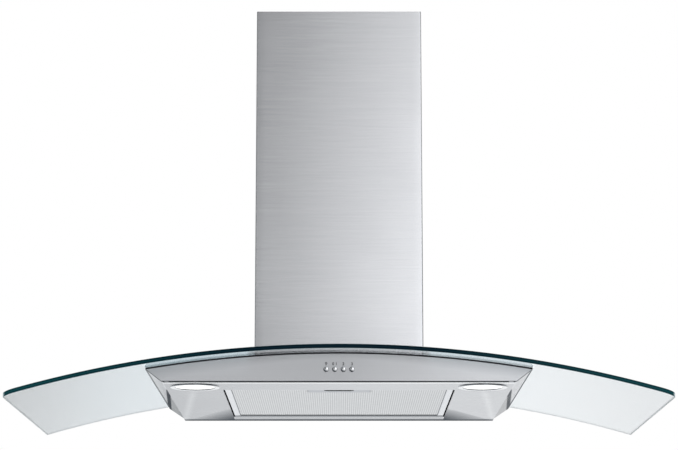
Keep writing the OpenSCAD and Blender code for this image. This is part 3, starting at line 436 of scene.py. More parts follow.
def bend_shade(f):
    """Painted shade on the two front bends of the chimney, where they turn away from the light."""
    x, y, _ = f.axes()
    bend = f.spread(f.off(x), 0, 0.8, CHIMNEY_HALF - 1.7 * MM, CHIMNEY_HALF - 0.8 * MM)
    front = low("lower_chimney").y
    return f.times(bend, f.spread(y, 1, 0, front + 1.6 * MM, front + 3 * MM))


def cassette_shade(f):
    """Painted shade on the frame's rear strip, which turns away from the light, a painted shadow line
    along the rear edge of the mesh, and a fine line where the mesh goes in at the sides."""
    x, y, _ = f.axes()
    strip = f.spread(y, 0, 0.45, MESH_END, MESH_END + 4 * MM)
    rear = f.spread(f.off(y, MESH_END), 0.9, 0, 1.5 * MM, 3 * MM)
    aside = f.off(f.off(x), FRAME_HALF - STRIP_SIDE)
    return f.most(strip, rear, f.spread(aside, 0.5, 0, 0.5 * MM, 1.2 * MM))


def lamp_painted_highlight(f):
    """Painted highlight: a pale streak from each lamp to the rear corner of the panel, and a pale strip
    along the front edge, where the bend catches the light.
    """
    x, y, _ = f.axes()
    start_x = LAMP_X + 4 * MM
    start_y = LAMP_Y + RING_R
    back = f.math("DIVIDE", f.minus(y, start_y), -start_y)
    on_line = f.math("ADD", f.times(back, BOTTOM_HALF - start_x), start_x)
    streak = f.times(
        f.spread(f.off(f.off(x), on_line), 0.3, 0, 0, 8 * MM),
        f.spread(y, 0, 1, start_y - 20 * MM, start_y + 60 * MM),
    )
    return f.most(streak, f.spread(y, 0.75, 0, FRONT + 6 * MM, FRONT + 9 * MM))


FRAME_HALF = high("filter_frame").x - 1.2 * MM
FRAME_BACK = OPEN_BACK - OPEN_GAP
STRIP_SIDE = 9 * MM
STRIP_BACK = 23.5 * MM
MESH_END = FRAME_BACK - STRIP_BACK
FACET_L = 156 * MM
SEAM_Y = -333 * MM
SLOT_HALF = 20.75 * MM
SLOT_FRONT = -374.2 * MM
SLOT_BACK = -360.8 * MM
CELL_W = 6.2 * MM
FLAT_BRUSH = (2.5, 900, 900)
SIDE_BRUSH = (2.5, 2.5, 350)

steel_front = brushed_steel(
    "brushed_steel", ALONG_X, (2.5, 2.5, 1100), fascia_shade, (0.34, 0.38), 0.03, 0.35, 0.86, 0.6
)
steel_cover = brushed_steel(
    "brushed_steel_cover", ALONG_X, (14, 14, 1300), bend_shade, (0.207, 0.233), 0.06, 0.5
)
# The rear facets of the sides take a darker copy of the side steel, tone 0.5: painted shade
steel_side, steel_side_shaded = (
    brushed_steel(name, ALONG_Y, SIDE_BRUSH, side_shade, (0.27, 0.31), 0.02, 0.25, tone, 0.5)
    for name, tone in (("brushed_steel_side", 0.88), ("brushed_steel_side_shaded", 0.5))
)
steel_under = brushed_steel(
    "brushed_steel_under", ALONG_X, FLAT_BRUSH, rear_corner_shade, (0.26, 0.34), 0.03, 0.5, 0.765, 0.5,
    painted_highlight=lamp_painted_highlight,
)
cassette_finish = brushed_steel(
    "cassette_aluminium", ALONG_X, FLAT_BRUSH, cassette_shade, (0.28, 0.42), 0.05, 0.6, 0.98, 0.3
)
glass_body = pane_glass()
edge_front = glass_edge(
    "glass_edge_front", rgb(0.001, 0.006, 0.012), rgb(0.002, 0.034, 0.042), rgb(0.005, 0.028, 0.042),
    rgb(0.014, 0.1, 0.11), 0.02,
)
edge_side = glass_edge(
    "glass_edge_side", rgb(0.20, 0.28, 0.30), rgb(0.22, 0.31, 0.33), rgb(0.4, 0.5, 0.52),
    rgb(0.4, 0.5, 0.52), 0.4,
)
edge_arris = plastic(
    "glass_arris", rgb(0.09, 0.16, 0.18), rgb(0.14, 0.23, 0.25), (0.2, 0.35), 1200, 0.1
)
chrome = metal("chrome", rgb(0.80, 0.81, 0.83), rgb(0.88, 0.89, 0.91), (0.05, 0.11), 40, 1500, 0.03)
# Painted shade on the chrome: the front of each bezel and the lower left of each button
chrome_ring = turned_chrome("chrome_ring", (0, -0.85, 0.1), 0.95, 0.1, 0.8)
chrome_key = turned_chrome("chrome_key", (-0.6, 0.35, -0.7), 0.95, -0.45, 0.92)
spring_wire = metal(
    "spring_wire", rgb(0.42, 0.42, 0.44), rgb(0.58, 0.58, 0.6), (0.25, 0.4), 400, 2500, 0.1
)
aluminium = metal(
    "aluminium", rgb(0.72, 0.73, 0.745), rgb(0.86, 0.865, 0.875), (0.28, 0.42), 50, 900, 0.1
)
core_foil = metal(
    "core_foil", rgb(0.52, 0.53, 0.54), rgb(0.62, 0.625, 0.63), (0.45, 0.6), 120, 1800, 0.1, 0.6
)
expanded = expanded_finish()
handle_finish = pocket_aluminium()
zinc = zinc_plate()
rubber = plastic(
    "gasket_rubber", rgb(0.008, 0.008, 0.01), rgb(0.02, 0.02, 0.023), (0.55, 0.75), 900, 0.2, 0.25
)
black_plastic = plastic(
    "black_plastic", rgb(0.022, 0.023, 0.026), rgb(0.04, 0.041, 0.045), (0.4, 0.55)
)
pale_plastic = plastic("pale_plastic", rgb(0.60, 0.60, 0.57), rgb(0.70, 0.70, 0.67), (0.35, 0.5))
ceramic = plastic("ceramic", rgb(0.74, 0.72, 0.66), rgb(0.86, 0.84, 0.79), (0.6, 0.8), 500, 0.35, 0.35)
motor_paint = plastic(
    "motor_paint", rgb(0.07, 0.075, 0.085), rgb(0.12, 0.125, 0.14), (0.28, 0.45), 350, 0.4
)
lead_sheath = plastic(
    "lead_sheath", rgb(0.03, 0.03, 0.034), rgb(0.06, 0.06, 0.066), (0.45, 0.6), 1100, 0.15
)
print_ink = plastic(
    "print_ink", rgb(0.008, 0.009, 0.012), rgb(0.014, 0.015, 0.018), (0.6, 0.75), 2500, 0.05, 0.1
)
lens_glow = lit_lens()

SLOT_FINISH = {
    "brushed_steel": steel_front, "canopy_glass": glass_body, "gasket_rubber": rubber,
    "zinc_plated_steel": zinc, "black_plastic": black_plastic, "pale_plastic": pale_plastic,
    "chrome": chrome, "spring_steel": spring_wire, "aluminium": aluminium, "lamp_glass": lens_glow,
    "ceramic": ceramic, "motor_paint": motor_paint, "lead_sheath": lead_sheath,
}

for part in frame["record"]["subparts"]:
    node = frame["nodes"][part["node"]]
    finish = core_foil if part["node"] == "filter_core" else SLOT_FINISH[part["material_slot"]]
    node.data.materials.clear()
    node.data.materials.append(finish)

# ---- mesh helpers


def rounded(points, radius, closed=True, steps=8):
    """A line of 2D points with an arc at each corner. radius is one number, or one for each point."""
    out = []
    for i, point in enumerate(points):
        r = radius[i] if isinstance(radius, (list, tuple)) else radius
        corner = Vector(point)
        if not r or (not closed and i in (0, len(points) - 1)):
            out.append(corner)
            continue
        a = (Vector(points[i - 1]) - corner).normalized()
        b = (Vector(points[(i + 1) % len(points)]) - corner).normalized()
        half = a.angle(b) / 2
        centre = corner + (a + b).normalized() * (r / math.sin(half))
        start = corner + a * (r / math.tan(half)) - centre
        stop = corner + b * (r / math.tan(half)) - centre
        turn = math.atan2(start.x * stop.y - start.y * stop.x, start.dot(stop))
        first = math.atan2(start.y, start.x)
        for k in range(steps + 1):
            angle = first + turn * k / steps
            out.append(centre + r * Vector((math.cos(angle), math.sin(angle))))
    return out


def rectangle(x0, y0, x1, y1):
    return [(x0, y0), (x1, y0), (x1, y1), (x0, y1)]


def round_hole(x, y, r, steps=48):
    return [(x + r * math.cos(a), y + r * math.sin(a)) for a in turns(steps)]


def turns(steps):
    return [2 * math.pi * k / steps for k in range(steps)]


def inside(point, loop):
    """Whether a 2D point lies in a closed loop of points."""
    x, y = point
    found = False
    for (x0, y0), (x1, y1) in zip(loop, [*loop[1:], loop[0]]):
        if (y0 > y) != (y1 > y) and x < x0 + (y - y0) * (x1 - x0) / (y1 - y0):
            found = not found
    return found


def plate(outline, holes, low_at, high_at, creases=(), cuts=(), edge_index=None):
    """A closed plate: a flat plan with holes, carried to its two faces by low_at(u, v) and
    high_at(u, v). creases are lines kept in both faces, cuts are values of u where the plate may
    bend, and edge_index(middle) is the material of each wall."""
    points, borders = [], []
    for loop in [outline, *holes]:
        first = len(points)
        points += [Vector(p) for p in loop]
        borders += [(first + i, first + (i + 1) % len(loop)) for i in range(len(loop))]
    for crease in creases:
        borders.append((len(points), len(points) + 1))
        points += [Vector(p) for p in crease]
    corners, edges, faces, _, from_borders, _ = delaunay_2d_cdt(points, borders, [], 0, 1e-6)
    flat = bmesh.new()
    verts = [flat.verts.new((c.x, c.y, 0)) for c in corners]
    flat.verts.index_update()
    for face in faces:
        middle = sum((corners[i] for i in face), Vector((0, 0))) / len(face)
        if inside(middle, outline) and not any(inside(middle, hole) for hole in holes):
            flat.faces.new([verts[i] for i in face])
    kept = {frozenset(e) for e, source in zip(edges, from_borders) if source}
    loose = [e for e in flat.edges if frozenset(v.index for v in e.verts) not in kept]
    bmesh.ops.delete(flat, geom=[v for v in flat.verts if not v.link_faces], context="VERTS")
    loose = [e for e in loose if e.is_valid]
    bmesh.ops.dissolve_limit(flat, angle_limit=0.01, verts=[], edges=loose)
    for cut in cuts:
        geometry = flat.verts[:] + flat.edges[:] + flat.faces[:]
        bmesh.ops.bisect_plane(flat, geom=geometry, dist=1e-7, plane_co=(cut, 0, 0), plane_no=(1, 0, 0))
    flat.verts.index_update()
    solid = bmesh.new()
    lows = [solid.verts.new(low_at(v.co.x, v.co.y)) for v in flat.verts]
    highs = [solid.verts.new(high_at(v.co.x, v.co.y)) for v in flat.verts]
    for face in flat.faces:
        solid.faces.new([highs[v.index] for v in face.verts])
        solid.faces.new([lows[v.index] for v in reversed(face.verts)])
    for edge in flat.edges:
        if edge.is_boundary:
            a, b = (v.index for v in edge.verts)
            wall = solid.faces.new([lows[a], lows[b], highs[b], highs[a]])
            if edge_index:
                wall.material_index = edge_index(wall.calc_center_median())
    flat.free()
    bmesh.ops.recalc_face_normals(solid, faces=solid.faces)
    return solid


def flat_plate(outline, holes, z0, z1):
    return plate(outline, holes, lambda u, v: (u, v, z0), lambda u, v: (u, v, z1))


def box(x0, y0, z0, x1, y1, z1):
    return flat_plate(rectangle(x0, y0, x1, y1), [], z0, z1)


def upright_plate(outline, holes, y0, y1):
    """A plate square to Y, drawn in X and Z."""
    return plate(outline, holes, lambda u, v: (u, y0, v), lambda u, v: (u, y1, v))


def arched_plate(outline, holes, r, thickness, cuts, edge_index=None):
    """A plate with its upper face on the arch of radius r."""
    return plate(
        outline, holes, lambda u, v: (u, v, arch(r - thickness, u)), lambda u, v: (u, v, arch(r, u)),
        cuts=cuts, edge_index=edge_index,
    )


def band(made, first, second, count):
    """Faces between two lines of corners. Corners that fall together are taken once."""
    for i in range(count):
        j = (i + 1) % len(first)
        loop = list(dict.fromkeys([first[i], first[j], second[j], second[i]]))
        if len(loop) > 2:
            made.faces.new(loop)


def folded(path, thickness, at):
    """A folded sheet: an open 2D path with its thickness to the left, carried by at(u, v, end)
    for end 0 and 1."""
    inner = []
    for i, point in enumerate(path):
        before = (point - path[i - 1]).normalized() if i else (path[1] - path[0]).normalized()
        after = (path[i + 1] - point).normalized() if i + 1 < len(path) else before
        left = Vector((-before.y - after.y, before.x + after.x)).normalized()
        inner.append(point + left * thickness / max(0.3, left.dot(Vector((-after.y, after.x)))))
    sheet = bmesh.new()
    rings = [[sheet.verts.new(at(p.x, p.y, end)) for p in line] for line, end in (
        (path, 0), (path, 1), (inner, 1), (inner, 0))]
    for first, second in zip(rings, [*rings[1:], rings[0]]):
        band(sheet, first, second, len(path) - 1)
    for i in (0, -1):
        sheet.faces.new([ring[i] for ring in rings])
    bmesh.ops.recalc_face_normals(sheet, faces=sheet.faces)
    return sheet


def lathe(profile, at, steps, closed=False):
    """A turned shape: points (radius, along) of its profile, carried by at(u, v, along)."""
    turned = bmesh.new()
    rings = []
    for r, along in profile:
        if r < 1e-6:
            rings.append([turned.verts.new(at(0, 0, along))] * steps)
        else:
            circle = [(r * math.cos(a), r * math.sin(a)) for a in turns(steps)]
            rings.append([turned.verts.new(at(u, v, along)) for u, v in circle])
    pairs = list(zip(rings, rings[1:]))
    if closed:
        pairs.append((rings[-1], rings[0]))
    for first, second in pairs:
        band(turned, first, second, steps)
    bmesh.ops.recalc_face_normals(turned, faces=turned.faces)
    return turned


def tube(path, r, sides=8):
    """A closed round tube along 3D points."""
    made = bmesh.new()
    rings = []
    side = None
    for i, point in enumerate(path):
        along = (path[min(i + 1, len(path) - 1)] - path[max(i - 1, 0)]).normalized()
        side = (side - along * side.dot(along) if side else along.orthogonal()).normalized()
        rise = along.cross(side)
        circle = [math.cos(a) * side + math.sin(a) * rise for a in turns(sides)]
        rings.append([made.verts.new(point + r * way) for way in circle])
    for first, second in zip(rings, rings[1:]):
        band(made, first, second, sides)
    made.faces.new(rings[0])
    made.faces.new(rings[-1])
    bmesh.ops.recalc_face_normals(made, faces=made.faces)
    return made


def joined(shapes):
    """One mesh from several."""
    whole = bmesh.new()
    for shape in shapes:
        part_mesh = bpy.data.meshes.new("part")
        shape.to_mesh(part_mesh)
        shape.free()
        whole.from_mesh(part_mesh)
        bpy.data.meshes.remove(part_mesh)
    return whole


def quarter(steps):
    """Angles from 0 to a right angle."""
    return [math.pi / 2 * k / steps for k in range(steps + 1)]


def linked(name, data):
    """An object in the scene."""
    obj = bpy.data.objects.new(name, data)
    bpy.context.scene.collection.objects.link(obj)
    return obj


def piece(name, shape, finishes, body="root", stands_for=(), edge=0, angle=30):
    """Makes the object, rounds its edges by edge, keeps edges over angle degrees sharp, sets it on
    its body and hides the CAD nodes that it stands for."""
    mesh = bpy.data.meshes.new(name)
    shape.to_mesh(mesh)
    shape.free()
    for finish in finishes:
        mesh.materials.append(finish)
    mesh.shade_smooth()
    mesh.set_sharp_from_angle(angle=math.radians(angle))
    obj = linked(name, mesh)
    if edge:
        bevel = obj.modifiers.new("Rounded edges", "BEVEL")
        bevel.width = edge
        bevel.segments = 2
        bevel.limit_method = "ANGLE"
        bevel.angle_limit = math.radians(40)
        bevel.harden_normals = True
        bevel.use_clamp_overlap = True
        weighted = obj.modifiers.new("Flat faces stay flat", "WEIGHTED_NORMAL")
        weighted.keep_sharp = True
    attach(obj, body)
    if stands_for:
        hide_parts(*stands_for)
    return obj


# ---- the glass canopy

CORNER_R = 18 * MM
NOTCH_R = 12 * MM
SCREW_X = NOTCH_HALF + 8 * MM
SCREW_Y = [low("blower_box").y + 15 * MM, high("blower_box").y - 25 * MM]
GLASS_HOLE_R = 4 * MM
ARRIS = 0.4 * MM

glass_outline = rounded(
    [
        (-GLASS_HALF, GLASS_BACK), (-GLASS_HALF, GLASS_FRONT),
        (GLASS_HALF, GLASS_FRONT), (GLASS_HALF, GLASS_BACK),
        (NOTCH_HALF, GLASS_BACK), (NOTCH_HALF, NOTCH_FRONT),
        (-NOTCH_HALF, NOTCH_FRONT), (-NOTCH_HALF, GLASS_BACK),
    ],
    [0, CORNER_R, CORNER_R, 0, 0, NOTCH_R, NOTCH_R, 0],
)
glass_holes = [round_hole(side * SCREW_X, y, GLASS_HOLE_R, 24) for side in (-1, 1) for y in SCREW_Y]
BEND_STEP = 15 * MM


def bends(half):
    """Lines across an arched plate of this half width, every BEND_STEP from its middle."""
    count = int(half / BEND_STEP)
    return [i * BEND_STEP for i in range(-count, count + 1)]


def glass_edge_index(middle):
    """1 for the front edge and its corners, 2 for the sides, the back and the notch."""
    return 1 if middle.y < GLASS_FRONT + CORNER_R * 0.5 else 2


pane = piece(
    "glass_pane",
    arched_plate(glass_outline, glass_holes, GLASS_R, GLASS_T, bends(GLASS_HALF), glass_edge_index),
    [glass_body, edge_front, edge_side, edge_arris],
    stands_for=["glass_canopy"], edge=ARRIS,
)
pane.modifiers[0].material = 3

# ---- the body


def body_half(h):
    return BOTTOM_HALF + SIDE_SLOPE * h


SEAM_GAP = 0.8 * MM
PULL_IN = 3 * MM
SHELL_FRONT = FRONT + SHEET + FIT
ROOF_GAP = 2 * MM
ROOF_HOLE_HALF = high("blower_box").x + ROOF_GAP
ROOF_SCREW_R = 2.8 * MM
SIDE_T = SHEET * math.hypot(1, SIDE_SLOPE)
roof_cuts = bends(TOP_HALF)


def side_panel(side):
    """The two facets of one slanted side, with the folded seam between them. u runs along Y and
    v up."""
    foot, top = up(H_SHELL), up(H_CORNER)
    rear_foot = Vector((0, foot))
    seam_foot = Vector((SEAM_Y, foot))
    rear_top = Vector((0, top))
    along = (rear_top - seam_foot).normalized() * SEAM_GAP
    shift = Vector((SEAM_GAP, 0))

    def outer(pulled):
        def at(u, v):
            drawn = 0
            if pulled:
                drawn = PULL_IN * max(0, 1 - (v - foot) / (top - foot)) * (1 - u / SEAM_Y)
            return (side * (body_half(v - UNDERSIDE) - drawn), u, v)
        return at

    def inner(pulled):
        def at(u, v):
            x, y, z = outer(pulled)(u, v)
            return (x - side * SIDE_T, y, z)
        return at

    front_facet = [(SHELL_FRONT, foot), tuple(seam_foot), tuple(rear_top - shift), (SHELL_FRONT, top)]
    rear_facet = [tuple(seam_foot + shift), tuple(rear_foot), (0, top - along.y)]
    front = plate(front_facet, [], inner(False), outer(False))
    rear = plate(rear_facet, [], inner(True), outer(True))
    # The rear facet takes the darker copy of the side steel: painted shade
    for face in rear.faces:
        face.material_index = 1
    return joined([front, rear])


roof = arched_plate(
    rectangle(-TOP_HALF + SIDE_T, SHELL_FRONT, TOP_HALF - SIDE_T, -SHEET),
    [
        rectangle(-ROOF_HOLE_HALF, low("blower_box").y - ROOF_GAP, ROOF_HOLE_HALF, -2 * SHEET),
        *[round_hole(side * SCREW_X, y, ROOF_SCREW_R, 16) for side in (-1, 1) for y in SCREW_Y],
    ],
    BODY_R, SHEET, roof_cuts,
)
arch_steps = int(2 * TOP_HALF / BEND_STEP) + 1
arch_points = [(x, arch(BODY_R, x)) for x in (TOP_HALF - i * BEND_STEP for i in range(arch_steps))]
foot_half = body_half(H_SHELL) - PULL_IN
back_wall = upright_plate(
    [(-foot_half + SIDE_T, up(H_SHELL)), (foot_half - SIDE_T, up(H_SHELL)),
     *[(x * (1 - SIDE_T / TOP_HALF), z - SHEET) for x, z in arch_points],
     (-TOP_HALF + SIDE_T, up(H_CORNER) - SHEET)],
    [], -SHEET, 0,
)
for face in back_wall.faces:
    face.material_index = 2
FLANGE_INNER = LAMP_X + LAMP_HOLE_R + 3.4 * MM
FLANGE_OUTER = foot_half - 0.5 * MM
foot_flanges = [
    box(side * FLANGE_INNER, SHELL_FRONT, up(H_SHELL),
        side * FLANGE_OUTER, -SHEET, up(H_SHELL) + SHEET)
    for side in (-1, 1)
]
piece(
    "hood_body", joined([roof, side_panel(-1), side_panel(1), back_wall, *foot_flanges]),
    [steel_side, steel_side_shaded, steel_front], stands_for=["body_shell"],
)

# ---- the fascia

BUTTON_HOLE_R = KEY_R + 0.2 * MM
KEY_X = [(low(name).x + high(name).x) / 2 for name in KEYS]
FOLD_IN = 14 * MM
TOP_FOLD = 10 * MM
LOW_FOLD = 5.7 * MM
fascia_foot = up(H_FASCIA)
fascia_outline = [
    (-body_half(H_FASCIA), fascia_foot), (body_half(H_FASCIA), fascia_foot), *arch_points,
    (-TOP_HALF, up(H_CORNER)),
]
key_holes = [round_hole(x, up(H_KEY), BUTTON_HOLE_R) for x in KEY_X]
face_plate = upright_plate(fascia_outline, key_holes, FRONT, FRONT + SHEET)
low_fold = box(
    -BOTTOM_HALF + FOLD_IN, FRONT + SHEET, fascia_foot,
    BOTTOM_HALF - FOLD_IN, FRONT + LOW_FOLD, fascia_foot + SHEET,
)
top_fold = arched_plate(
    rectangle(-TOP_HALF + FOLD_IN, FRONT + SHEET, TOP_HALF - FOLD_IN, FRONT + TOP_FOLD), [],
    BODY_R - SHEET - FIT, SHEET, roof_cuts,
)
piece(
    "front_fascia", joined([face_plate, low_fold, top_fold]), [steel_front],
    stands_for=["fascia"], edge=0.3 * MM,
)

# ---- the underside panel

FACET_RISE = 1.2 * MM
PANEL_R = 0.6 * MM
PANEL_BACK = high("bottom_panel").y


def panel_rise(x, y):
    """How far the panel is pressed up: nothing in front, growing to the rear inner corners."""
    back = 1 + y / FACET_L
    aside = (abs(x) - OPEN_HALF) / (BOTTOM_HALF - OPEN_HALF)
    return FACET_RISE * max(0, back - max(0, aside))


panel_sheet = plate(
    rounded(rectangle(-BOTTOM_HALF, FRONT, BOTTOM_HALF, PANEL_BACK), PANEL_R, steps=3),
    [rectangle(-OPEN_HALF, OPEN_FRONT, OPEN_HALF, OPEN_BACK),
     *[round_hole(side * LAMP_X, LAMP_Y, LAMP_HOLE_R, 64) for side in (-1, 1)]],
    lambda u, v: (u, v, up(panel_rise(u, v))), lambda u, v: (u, v, up(panel_rise(u, v) + SHEET)),
    creases=[
        line for side in (-1, 1) for line in (
            ((side * OPEN_HALF, -FACET_L), (side * (BOTTOM_HALF - PANEL_R), PANEL_BACK)),
            ((side * OPEN_HALF, OPEN_BACK), (side * OPEN_HALF, PANEL_BACK)),
        )
    ],
)

LATCH_HALF = 8 * MM
H_LATCH = 3.6 * MM
LATCH_T = 2 * MM
SLOT_GAP = 0.8 * MM
TONGUE_X = 110 * MM
TONGUE_HALF = 7 * MM
TONGUE_SLOT = TONGUE_HALF + SLOT_GAP
LATCH_SLOT = LATCH_HALF + SLOT_GAP
FLANGE_HALF = OPEN_HALF + SHEET
H_FRONT_FOOT = 0.5 * MM
front_flange = upright_plate(
    rectangle(-FLANGE_HALF, up(H_FRONT_FOOT), FLANGE_HALF, up(H_FLANGE)),
    [rectangle(-LATCH_SLOT, up(H_LATCH - SLOT_GAP), LATCH_SLOT, up(H_LATCH + LATCH_T + SLOT_GAP))],
    OPEN_FRONT - SHEET, OPEN_FRONT,
)
flange_foot, flange_top, tongue_foot = up(FACET_RISE), up(H_FLANGE), up(SHEET + SLOT_GAP)
back_flange = upright_plate(
    [(-FLANGE_HALF, flange_foot), (FLANGE_HALF, flange_foot), (FLANGE_HALF, flange_top),
     *[(side * TONGUE_X + end * TONGUE_SLOT, z) for side in (1, -1) for end, z in (
         (1, flange_top), (1, tongue_foot), (-1, tongue_foot), (-1, flange_top))],
     (-FLANGE_HALF, flange_top)],
    [], OPEN_BACK, OPEN_BACK + SHEET,
)
side_flanges = [
    box(side * OPEN_HALF, OPEN_FRONT, flange_foot, side * FLANGE_HALF, OPEN_BACK, flange_top)
    for side in (-1, 1)
]
piece(
    "underside_panel", joined([panel_sheet, front_flange, back_flange, *side_flanges]),
    [steel_under], stands_for=["bottom_panel"], edge=0.35 * MM, angle=0.15,
)

# ---- the chimney covers

BEND_R = 1.6 * MM
COVER_FLANGE = 16 * MM
COVER_STRIP = 50 * MM
COVER_STEP = 12 * MM


def cover(name, node, body, foot_at):
    """A channel open to the wall, brushed round its bends, with flanges along its back edges."""
    front, side, back, top = low(node).y, high(node).x, high(node).y, high(node).z
    path = rounded(
        [(COVER_FLANGE - side, back), (-side, back), (-side, front),
         (side, front), (side, back), (side - COVER_FLANGE, back)],
        BEND_R, closed=False, steps=5,
    )
    points = [path[0]]
    for point in path[1:]:
        gap = point - points[-1]
        parts = max(1, round(gap.length / COVER_STEP))
        points += [points[-1] + gap * k / parts for k in range(1, parts + 1)]

    def at(u, v, end):
        on_flange = v > back - 1.2 * SHEET and abs(u) < side - 1.5 * SHEET
        return (u, v, (top - COVER_STRIP if on_flange else top) if end else foot_at(u, v))

    piece(
        name, folded(points, SHEET, at), [steel_cover], body=body, stands_for=[node],
        edge=0.2 * MM,
    )


cover("lower_cover", "lower_chimney", "root", lambda u, v: arch(GLASS_R + FIT, u))
cover("upper_sleeve", "upper_chimney", "upper_cover", lambda u, v: low("upper_chimney").z)

# ---- the filter cassette

H_FRAME = [0.2 * MM, 1.2 * MM, 3.3 * MM, 5.9 * MM, 8.2 * MM, 9.2 * MM]
H_TONGUE = [4.4 * MM, 6 * MM]
FRAME_FRONT = low("filter_frame").y
STRIP_FRONT = 2 * MM
GROOVE = 5 * MM
LATCH_ROOM = LATCH_HALF + FIT


def layer(outline, holes, low_h, high_h):
    return flat_plate(outline, holes, up(low_h), up(high_h))


def broken_ring(outer, inner, gap):
    """The plan of a rectangular ring that is open for +-gap in the middle of its front."""
    (x0, y0), _, (x1, y1), _ = outer
    (a0, b0), _, (a1, b1), _ = inner
    return [(gap, y0), (x1, y0), (x1, y1), (x0, y1), (x0, y0), (-gap, y0),
            (-gap, b0), (a0, b0), (a0, b1), (a1, b1), (a1, b0), (gap, b0)]


def frame_hole(grown):
    """The plan of the cassette's opening, grown at its sides and its back."""
    half = FRAME_HALF - STRIP_SIDE + grown
    return rectangle(-half, FRAME_FRONT + STRIP_FRONT, half, MESH_END + grown)


frame_plan = rectangle(-FRAME_HALF, FRAME_FRONT, FRAME_HALF, FRAME_BACK)
lip_hole, groove_hole = frame_hole(0), frame_hole(GROOVE)
frame_layers = [
    (frame_plan, [lip_hole]), (frame_plan, [groove_hole]),
    (broken_ring(frame_plan, groove_hole, LATCH_ROOM), []),
    (frame_plan, [groove_hole]), (frame_plan, [lip_hole]),
]
tongues = [
    box(side * TONGUE_X - TONGUE_HALF, FRAME_BACK - SHEET, up(H_TONGUE[0]),
        side * TONGUE_X + TONGUE_HALF, high("filter_frame").y, up(H_TONGUE[1]))
    for side in (-1, 1)
]
piece(
    "cassette_frame",
    joined([
        *[layer(*plan, H_FRAME[i], H_FRAME[i + 1]) for i, plan in enumerate(frame_layers)], *tongues,
    ]),
    [cassette_finish], body="filter", stands_for=["filter_frame"], edge=0.25 * MM,
)

ROW_STEP = 1.9 * MM
STRAND_W = 1.0 * MM
STRAND_T = 0.3 * MM
STRAND_TILT = -0.22 * MM
H_MESH = 1.8 * MM


def expanded_sheet():
    """Zigzag strands that meet at every other turn, as in slit and stretched sheet."""
    half_cell = CELL_W / 2
    columns = int((MESH_HIGH.x - MESH_LOW.x) / half_cell)
    rows = int((MESH_HIGH.y - MESH_LOW.y - STRAND_W) / ROW_STEP)
    start_x = -columns * half_cell / 2
    room_half = HANDLE_HIGH.x + FIT
    middle = up(H_MESH)
    verts, faces = [], []
    for row in range(rows):
        base = MESH_LOW.y + STRAND_W / 2 + (row + 0.5) * ROW_STEP
        last = None
        for i in range(columns + 1):
            x = start_x + i * half_cell
            if base < HANDLE_HIGH.y + ROW_STEP and abs(x) < room_half + STRAND_W / 2:
                last = None
                continue
            y = base + (ROW_STEP / 2 if (i + row) % 2 else -ROW_STEP / 2)
            first = len(verts)
            for dy, dz in ((-1, -1), (1, -1), (1, 1), (-1, 1)):
                verts.append((x, y + dy * STRAND_W / 2, middle + dz * STRAND_T / 2 + dy * STRAND_TILT))
            if last is not None:
                for k, after in ((0, 1), (1, 2), (2, 3), (3, 0)):
                    faces.append((last + k, last + after, first + after, first + k))
            last = first
    return verts, faces


mesh_data = bpy.data.meshes.new("expanded_mesh")
sheet_verts, sheet_faces = expanded_sheet()
mesh_data.from_pydata(sheet_verts, [], sheet_faces)
strands = bmesh.new()
strands.from_mesh(mesh_data)
bpy.data.meshes.remove(mesh_data)
bmesh.ops.recalc_face_normals(strands, faces=strands.faces)
piece("expanded_mesh", strands, [expanded], body="filter", stands_for=["filter_mesh"])

HANDLE_WALL = 1 * MM
handle_plan, handle_inner = (
    rectangle(HANDLE_LOW.x + wall, HANDLE_LOW.y + wall, HANDLE_HIGH.x - wall, HANDLE_HIGH.y - wall)
    for wall in (0, HANDLE_WALL)
)
finger_slot = rounded(
    rectangle(-SLOT_HALF, SLOT_FRONT, SLOT_HALF, SLOT_BACK),
    (SLOT_BACK - SLOT_FRONT) / 2 - 0.05 * MM, steps=10,
)
H_HANDLE = 0.6 * MM
H_HANDLE_TOP = HANDLE_HIGH.z - UNDERSIDE
piece(
    "handle_plate",
    joined([
        layer(handle_plan, [finger_slot], H_HANDLE, H_HANDLE + HANDLE_WALL),
        layer(handle_plan, [handle_inner], H_HANDLE + HANDLE_WALL, H_FRAME[2]),
        layer(broken_ring(handle_plan, handle_inner, LATCH_ROOM), [], H_FRAME[2], H_FRAME[3]),
        layer(handle_plan, [handle_inner], H_FRAME[3], H_HANDLE_TOP),
    ]),
    [handle_finish], body="filter", stands_for=["filter_handle"], edge=0.25 * MM,
)

# ---- lamps

CROWN_H = 1.2 * MM
LENS_OUTER = LENS_R - 0.2 * MM
crown = [(LENS_OUTER * math.sin(t), -CROWN_H * math.cos(t) ** 0.5) for t in quarter(8)]
lens_profile = [*crown, (LENS_OUTER, SHEET), (0, SHEET)]


def lamp_ring_profile():
    """Half section of the bezel: a rounded lip outside the lens and a collar up into the hole."""
    lip = []
    for k in range(13):
        t = math.pi * k / 12
        lip.append((
            (RING_R + LENS_R) / 2 - math.cos(t) * (RING_R - LENS_R) / 2,
            -RING_PROUD * (0.7 + 0.3 * math.sin(t)) if k < 12 else 0,
        ))
    return lip + [(LAMP_HOLE_R - FIT, 0), (LAMP_HOLE_R - FIT, SHEET), (LENS_R, SHEET)]


for side, word in ((-1, "left"), (1, "right")):
    def at_lamp(u, v, h, side=side):
        return (side * LAMP_X + u, LAMP_Y + v, up(h))

    piece(
        f"lamp_bezel_{word}", lathe(lamp_ring_profile(), at_lamp, 128, closed=True), [chrome_ring],
        stands_for=[f"lamp_ring_{word}"], angle=50,
    )
    piece(
        f"frosted_lens_{word}", lathe(lens_profile, at_lamp, 96), [lens_glow],
        stands_for=[f"lamp_lens_{word}"], angle=50,
    )

# ---- the push buttons

